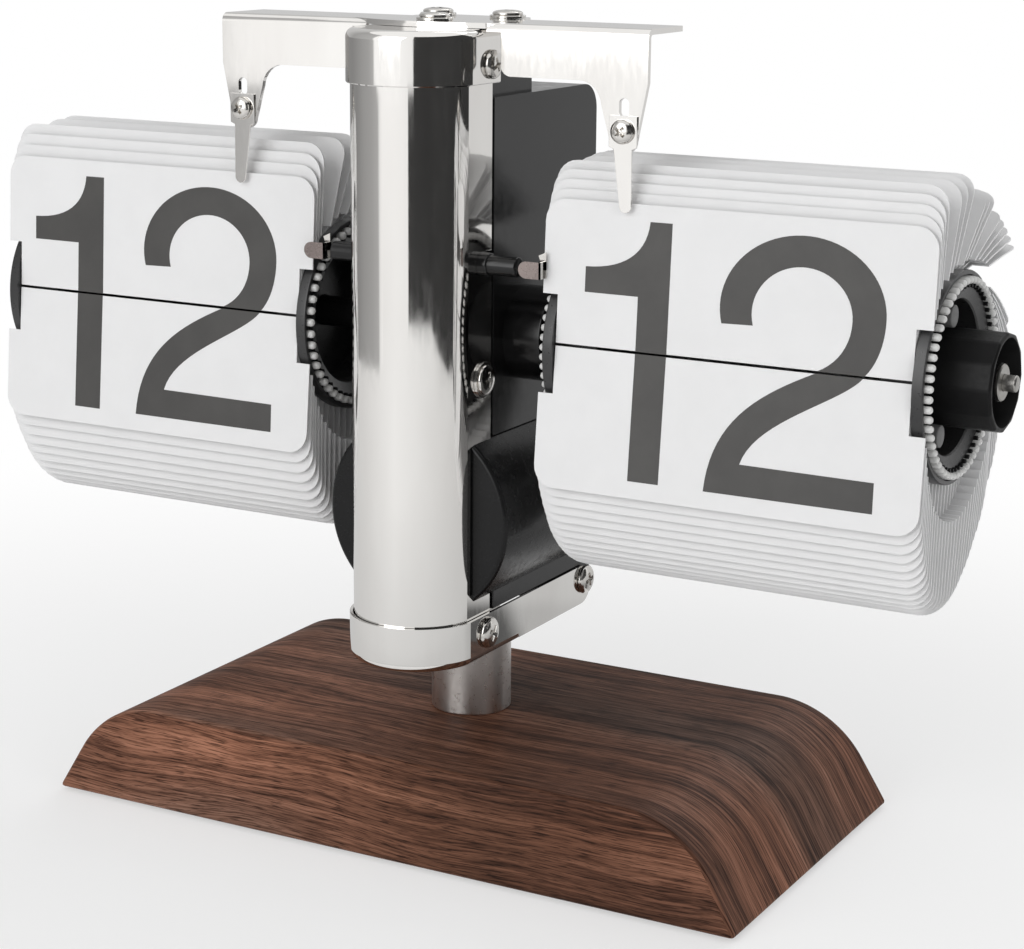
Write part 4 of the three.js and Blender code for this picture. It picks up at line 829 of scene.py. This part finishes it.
def make_knob():
    """The setting knob with shallow facets, a thin rim and a deep dish."""
    face, rear = high("minute_knob").x, low("minute_knob").x
    radius = high("minute_knob").z - AXIS_Z
    knob = prism("minute_knob_body", "X", arc(AXIS, radius, 0, 360, 12)[:-1], rear, face, black_satin)
    ease(knob, 0.55, 3, 25)
    dish = lathe("dish", "X", AXIS, [
        (face - 6, 3.4), (face - 6, radius - 1.9), (face - 0.5, radius - 1.1),
        (face + 1, radius - 0.9), (face + 1, 0.0), (face - 1.1, 0.0), (face - 1.1, 3.4),
    ], black_satin)
    carry(cut(knob, dish), "minute_drum", "black_plastic", "minute_knob")
    washer, bore = low("shaft_washer").x, 1.55
    ring = lathe("shaft_washer_ring", "X", AXIS, [
        (washer, bore), (washer, 3.3), (washer + 0.4, 3.3), (washer + 0.6, 3.1), (washer + 0.6, bore),
    ], shaft_steel, 64)
    carry(ring, "minute_drum", "plain_steel", "shaft_washer")
    shaft = tube("minute_shaft_rod", "X", AXIS, 1.48, low("minute_shaft").x, high("minute_shaft").x,
                 shaft_steel, 40, 0.4)
    carry(shaft, "minute_drum", "plain_steel", "minute_shaft")


# Leaves

def hang_at(bearing):
    """The lean and bend of a leaf, read off LEAF_HANG by straight lines."""
    for (b0, l0, c0), (b1, l1, c1) in zip(LEAF_HANG, LEAF_HANG[1:]):
        if b0 <= bearing <= b1:
            share = (bearing - b0) / (b1 - b0)
            return l0 + (l1 - l0) * share, c0 + (c1 - c0) * share
    return LEAF_HANG[-1][1:]


def split_reach(count):
    """How far a front leaf's pins lie from the split line."""
    return math.pi * PIN_CIRCLE / count


def leaf_rows(root):
    """Rows up a leaf as (height above the pin, inset at both ends), from its root below the pin."""
    shoulder = NOTCH_HEIGHT - root
    corner = LEAF_TIP - LEAF_CORNER
    rows = [(-root, NOTCH_DEPTH), (3, NOTCH_DEPTH), (shoulder, NOTCH_DEPTH), (shoulder + 0.02, 0.0)]
    rows += [(shoulder + (corner - shoulder) * k / 4, 0.0) for k in range(1, 5)]
    return rows + arc((corner, LEAF_CORNER), LEAF_CORNER, -90, 0, CORNER_STEPS)[1:]


def leaf_curve(bearing, offset, root):
    """The points and backward directions of a leaf's rows, in Y and Z."""
    lean, bend = hang_at(bearing)
    y, z = pin_place(bearing)
    result = []
    at = -root
    angle = math.radians(lean)
    y, z = y + at * math.sin(angle), z + at * math.cos(angle)
    for height, inset in leaf_rows(root):
        share = max(0.0, (height + at) / 2 / LEAF_HEIGHT)
        angle = math.radians(lean + bend * share * 1.6)
        y += (height - at) * math.sin(angle)
        z += (height - at) * math.cos(angle)
        at = height
        normal = (-math.cos(angle), math.sin(angle))
        result.append((y + normal[0] * offset, z + normal[1] * offset, normal, inset))
    return result


def add_leaf(verts, faces, curve, left, right):
    """Adds one card to a mesh."""
    first = len(verts)
    for y, z, normal, inset in curve:
        for x in (left + inset, right - inset):
            for side in (1, -1):
                shift = side * LEAF_THICKNESS / 2
                verts.append((x, y + normal[0] * shift, z + normal[1] * shift))
    rows = len(curve)
    for k in range(rows - 1):
        a, b = first + 4 * k, first + 4 * (k + 1)
        faces += [[a, a + 2, b + 2, b], [a + 1, b + 1, b + 3, a + 3],
                  [a, b, b + 1, a + 1], [a + 2, a + 3, b + 3, b + 2]]
    last = first + 4 * (rows - 1)
    faces += [[first, first + 1, first + 3, first + 2], [last, last + 2, last + 3, last + 1]]


def leaf_cards(name, bearings, offset, root, left, right):
    """Leaves as separate thin cards in one object."""
    verts, faces = [], []
    for bearing in bearings:
        add_leaf(verts, faces, leaf_curve(bearing, offset, root), left, right)
    return solid(name, verts, faces, leaf_white)


# Printed digits, as outlines in millimetres from a leaf's left edge and up from the split

def stroke(path, width):
    """An even stroke along a path of points."""
    sides = ([], [])
    for k, (u, v) in enumerate(path):
        a, b = path[max(0, k - 1)], path[min(len(path) - 1, k + 1)]
        du, dv = b[0] - a[0], b[1] - a[1]
        length = math.hypot(du, dv)
        nu, nv = -dv / length * width / 2, du / length * width / 2
        sides[0].append((u + nu, v + nv))
        sides[1].append((u - nu, v - nv))
    return sides[0] + sides[1][::-1]


def digit_one(upper):
    """The upper or lower half of a 1."""
    if not upper:
        return [(19.04, -0.2), (19.04, -23.2), (25.14, -23.2), (25.14, -0.2)]
    flag = bezier((8.44, 14.6), (16.0, 14.7), (20.4, 17.6), (20.84, 23.4))
    return [(8.44, 10.0), *flag, (25.14, 23.4), (25.14, 0.2), (19.04, 0.2), (19.04, 10.0)]


def digit_two(upper):
    """The upper or lower half of a 2."""
    if upper:
        outer = arc((50.3, 10.0), 15.35, 194, 0, 40, 13.2 / 15.35)
        inner = arc((50.3, 9.3), 9.3, 0, 196, 32, 8.5 / 9.3)
        fall = bezier((65.65, 10.0), (65.65, 6.2), (64.6, 2.6), (62.4, 0.2), 10)
        climb = bezier((53.7, 0.2), (57.4, 1.9), (59.6, 5.2), (59.6, 9.3), 10)
        return outer + fall[1:] + climb + inner[1:]
    left = bezier((53.5, -0.2), (42.5, -5.2), (34.6, -10.8), (33.94, -23.2), 18)
    right = bezier((40.54, -17.6), (42.9, -9.4), (58.4, -4.9), (62.2, -0.2), 18)
    return left + [(65.64, -23.2), (65.54, -17.8)] + right


def digit_three(upper):
    """The upper or lower half of a 3."""
    bowl = arc((50.0, 11.6), 11.4, 190, -65, 36, 8.4 / 11.4) + [(48.5, 3.3)]
    return stroke([(u, v if upper else -v) for u, v in bowl], 6.1)


def print_digits(name, bearing, offset, reach, left, stretch, digits, upper, body):
    """Thin printed halves on a leaf's face, or lower ones on its back, which shows when it has fallen."""
    angle = math.radians(hang_at(bearing)[0])
    along = Vector((0, math.sin(angle), math.cos(angle)))
    normal = Vector((0, -math.cos(angle), math.sin(angle)))
    root = Vector((0, *pin_place(bearing))) + normal * offset
    parts = []
    for digit in digits:
        loops = []
        for depth in (0.0, PRINT_DEPTH):
            shift = normal * (LEAF_THICKNESS / 2 + depth) * (1 if upper else -1)
            loops.append([tuple(Vector((left + (PRINT_RIGHT - (PRINT_RIGHT - u) * stretch), 0, 0)) + root
                                + along * (abs(v) - reach) + shift) for u, v in digit(upper)])
        parts.append(loft("glyph", loops, print_grey))
    carry(gather(name, parts), body, "leaf_card")


def make_leaves():
    """Front leaves, packs and print of both drums."""
    for word, count, left, right, upper_last, stretch, later in (
            ("minute", MINUTE_LEAVES, LEAF_LEFT, LEAF_RIGHT, 15, 1, digit_three),
            ("hour", HOUR_LEAVES, -LEAF_RIGHT, -LEAF_LEFT, 12, 1.03, digit_two)):
        bearings = pin_bearings(count)
        reach = split_reach(count)
        leaf = f"{word}_leaf"
        split = upper_last + 1
        for name, node, some, offset, body in (
                ("leaf_card", "leaf", bearings[:1], FRONT_OFFSET, leaf),
                ("lower_leaf_card", "lower_leaf", bearings[-1:], -FRONT_OFFSET, "stand"),
                ("upper_cards", "leaves_upper", bearings[1:split], PACK_OFFSET, "stand"),
                ("lower_cards", "leaves_lower", bearings[split:-1], PACK_OFFSET, "stand")):
            cards = leaf_cards(f"{word}_{name}", some, offset, reach - SPLIT_GAP / 2, left, right)
            carry(cards, body, "leaf_card", f"{word}_{node}")
        for part, bearing, offset, second, upper, body in (
                ("upper", bearings[0], FRONT_OFFSET, digit_two, True, leaf),
                ("back", bearings[0], FRONT_OFFSET, later, False, leaf),
                ("lower", bearings[-1], -FRONT_OFFSET, digit_two, False, "stand"),
                ("next", bearings[1], PACK_OFFSET, later, True, "stand")):
            print_digits(f"{word}_digits_{part}", bearing, offset, reach, left, stretch, (digit_one, second),
                         upper, body)


# Finishes of the nodes that stay

def dress_nodes():
    """A material for every node that shows as it was packed."""
    finishes = {
        "base_pad": felt, "battery": cell_jacket, "circuit_board": board_green, "motor": brushed,
        "minute_gear": gear_white, "hour_gear": gear_white, "idler_gear": gear_white,
        "motor_pinion": gear_white, "hour_sleeve": black_satin, "shaft_clip": screw_steel,
    }
    for name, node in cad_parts.items():
        node.data.materials.clear()
        node.data.materials.append(finishes.get(name, brushed))


# Stage, light and camera

CARD_DISTANCE = 420
CARD_TOP = 600
COLUMN_MIRROR_TOP = 111
CAP_MIRROR_TOP = 155
"""Up to these heights the cards show in the column and in the cap."""


def seen_directly(tree):
    """One for rays from the camera, gloss and glass, and zero for all other light."""
    path = add_node(tree, "LightPath").outputs
    seen = maths(tree, "MAXIMUM", path["Is Camera Ray"], path["Is Glossy Ray"])
    return maths(tree, "MAXIMUM", seen, path["Is Transmission Ray"])


def mix_to(tree, share, first, second, output):
    """Mixes two shaders into an output."""
    mix = add_node(tree, "MixShader", Fac=share)
    for socket, shader in zip(mix.inputs[1:], (first, second)):
        give(tree, socket, shader.outputs[0])
    feed(tree, tree.nodes[output], Surface=mix.outputs[0])


def make_world():
    """An even pale world that is plain white where it is seen."""
    world = bpy.data.worlds.new("studio")
    bpy.context.scene.world = world
    world.use_nodes = True
    tree = world.node_tree
    ambient = feed(tree, tree.nodes["Background"], Color=(1, 1, 1, 1), Strength=0.44)
    white = add_node(tree, "Background", Color=(1, 1, 1, 1), Strength=1.0)
    mix_to(tree, seen_directly(tree), ambient, white, "World Output")


def make_floor():
    """A pale floor that keeps the shadow near the clock and fades to white, over distances in metres."""
    material, tree, shader = blank("floor")
    half = 3000
    floor = solid("floor", [(-half, -half, 0), (half, -half, 0), (half, half, 0), (-half, half, 0)],
                  [[0, 1, 2, 3]], material)
    feed(tree, shader, Base_Color=(0.93, 0.93, 0.93, 1), Roughness=0.9, Specular_IOR_Level=0.0)
    white = add_node(tree, "Emission", Strength=1.0)
    place = add_node(tree, "TexCoord").outputs["Object"]
    length = add_node(tree, "VectorMath", {"operation": "LENGTH"}, Vector=place).outputs["Value"]
    fade = add_node(tree, "MapRange", {"interpolation_type": "SMOOTHSTEP"}, Value=length, From_Min=0.08,
                    From_Max=0.34, To_Min=0.5).outputs["Result"]
    mix_to(tree, maths(tree, "MULTIPLY", seen_directly(tree), fade), shader, white, "Material Output")


def make_card(name, verts, faces, levels):
    """A glowing card that only gloss sees, a painted reflection, with a level at each corner."""
    material, tree, _ = blank(name)
    shade = add_node(tree, "Attribute", {"attribute_name": "level"}).outputs["Color"]
    glow = add_node(tree, "Emission", Color=shade)
    feed(tree, tree.nodes["Material Output"], Surface=glow.outputs[0])
    card = solid(name, verts, faces, material)
    colours = card.data.color_attributes.new("level", "FLOAT_COLOR", "POINT")
    for corner, level in zip(colours.data, levels):
        corner.color = (level, level, level, 1)
    card.visible_camera = card.visible_diffuse = card.visible_shadow = card.visible_transmission = False


def spread(stops, step=5):
    """Stops with more between them, so that each lies at most a step of degrees from the next."""
    rows = [stops[0]]
    for a, b in zip(stops, stops[1:]):
        count = math.ceil((b[0] - a[0]) / step)
        rows += [tuple(p + (q - p) * k / count for p, q in zip(a, b)) for k in range(1, count + 1)]
    return rows


def make_ring(name, stops, across):
    """A card round the clock; across() turns a stop's values into (radius, height, level) over its width."""
    verts, levels = [], []
    rows = spread(stops)
    for degrees, *values in rows:
        turn = math.radians(degrees)
        for radius, height, level in across(*values):
            verts.append((radius * math.sin(turn), -radius * math.cos(turn), height))
            levels.append(level)
    width = len(verts) // len(rows)
    faces = [[r * width + i, (r + 1) * width + i, (r + 1) * width + i + 1, r * width + i + 1]
             for r in range(len(rows) - 1) for i in range(width - 1)]
    make_card(name, verts, faces, levels)


def make_surround(name, top, stops):
    """An upright card up to a height through stops of (direction in degrees, bottom, level)."""
    make_ring(name, stops, lambda bottom, level: [(CARD_DISTANCE, z, level) for z in (bottom, top)])


def make_gloss_floor(name, radii, stops):
    """A glowing sheet on the floor that only gloss sees, a painted reflection, through stops of (direction in
    degrees, a level at each radius).
    """
    make_ring(name, stops, lambda *shades: [(radius, 0.1, level) for radius, level in zip(radii, shades)])


def make_cards():
    """Grey and dark glowing cards round the clock that only gloss sees: painted reflections, which polished
    metal needs to read as metal.
    """
    make_surround("grey_card_left", COLUMN_MIRROR_TOP, [
        (-178, 20, 0.4), (-150, 15, 0.33), (-120, 14, 0.27), (-90, 14, 0.27), (-70, 14, 0.35), (-50, 15, 0.4),
        (-38, 15, 0.47), (-35, 16, 0.9), (-30, 18, 1.02)])
    make_surround("grey_card_left_middle", CAP_MIRROR_TOP, [
        (-178, 111, 0.4), (-120, 111, 0.27), (-90, 111, 0.27), (-50, 111, 0.4), (-41, 111, 0.5),
        (-38.5, 111, 1.1), (-30, 111, 1.1)])
    make_surround("grey_card_left_high", CARD_TOP, [
        (-178, 155, 0.6), (-120, 155, 0.6), (-90, 155, 0.4), (-43, 155, 0.5), (-40, 155, 1.1),
        (-30, 155, 1.1)])
    make_surround("dark_card_right", COLUMN_MIRROR_TOP, [
        (14, 33, 0.045), (50, 31, 0.035), (64, 20, 0.035), (80, 12, 0.035), (115, 12, 0.035),
        (128, 16, 0.045)])
    make_surround("dark_card_right_high", CARD_TOP, [(23, 111, 0.045), (64, 111, 0.035), (128, 111, 0.045)])
    make_surround("grey_card_rear", CARD_TOP, [(136, 20, 0.72), (158, 20, 0.72), (178, 20, 0.8)])
    make_gloss_floor("gloss_floor", (90, 143, 156, 300, 1000, 2900), [
        (-180, 0.6, 0.6, 0.63, 0.7, 0.85, 0.9), (-120, 0.6, 0.62, 0.64, 0.68, 0.8, 0.85),
        (-82, 0.62, 0.66, 0.68, 0.73, 0.9, 0.95), (-40, 0.64, 0.70, 0.74, 0.86, 1.03, 1.05),
        (-10, 0.62, 0.68, 0.75, 0.95, 1.04, 1.06), (20, 0.6, 0.66, 0.72, 0.88, 1.0, 1.0),
        (64, 0.56, 0.62, 0.66, 0.78, 0.85, 0.85), (100, 0.54, 0.58, 0.62, 0.70, 0.8, 0.8),
        # From 136 to 144 degrees the levels at the two nearest radii fall to 0.1: a painted shadow of the
        # clock on the floor, seen in the shoe's straps.
        (130, 0.40, 0.36, 0.60, 0.72, 0.8, 0.85), (136, 0.10, 0.10, 0.60, 0.72, 0.8, 0.85),
        (144, 0.10, 0.10, 0.60, 0.72, 0.8, 0.85), (146, 0.5, 0.5, 0.60, 0.72, 0.82, 0.88),
        (180, 0.6, 0.6, 0.63, 0.7, 0.85, 0.9)])


def make_lamp(name, location, size, power):
    """A square soft lamp aimed at the middle of the clock."""
    data = bpy.data.lights.new(name, "AREA")
    data.size = size
    data.energy = power
    lamp = new_object(name, data)
    lamp.location = location
    aim = Vector((0, 0, 0.08)) - lamp.location
    lamp.rotation_euler = aim.to_track_quat("-Z", "Y").to_euler()


def make_camera():
    """The camera solved on the photograph."""
    azimuth, elevation, roll, distance = 0.503, 0.240, 0.008, 474.93 * MM
    target = Vector((8.897 * MM, 0, 68.68 * MM))
    back = Vector((math.sin(azimuth) * math.cos(elevation), -math.cos(azimuth) * math.cos(elevation),
                   math.sin(elevation)))
    level = (-back).cross(Vector((0, 0, 1))).normalized()
    upright = level.cross(-back)
    right = math.cos(roll) * level + math.sin(roll) * upright
    up = math.cos(roll) * upright - math.sin(roll) * level
    data = bpy.data.cameras.new("camera")
    data.lens = 85.89
    data.sensor_width = 36
    data.clip_start = 0.01
    camera = new_object("camera", data)
    camera.matrix_world = Matrix.Translation(target + back * distance) @ Matrix(
        (right, up, back)).transposed().to_4x4()
    bpy.context.scene.camera = camera


make_camera()
make_world()
make_floor()
make_cards()
make_lamp("key", (-0.3, -1.0, 0.5), 0.9, 6.1)
make_lamp("fill", (0.9, -0.35, 0.35), 0.6, 2.4)
make_lamp("rim", (0.1, 0.9, 0.8), 0.8, 3.7)
bpy.context.scene.view_settings.view_transform = "Standard"

make_base()
make_shell()
make_shoe()
make_cap()
make_arms()
make_fingers()
make_screws()
make_case()
make_barrel()
make_catches()
make_flange("minute_flange_outer", MINUTE_LEAVES, 1, "minute_drum", 0.68, 1.3)
make_flange("minute_flange_inner", MINUTE_LEAVES, -1, "minute_drum", 0.68, 1.3)
make_flange("hour_flange_outer", HOUR_LEAVES, -1, "hour_drum", 0.76, 0.3)
make_flange("hour_flange_inner", HOUR_LEAVES, 1, "hour_drum", 0.76, 1.1)
make_knob()
make_leaves()
dress_nodes()
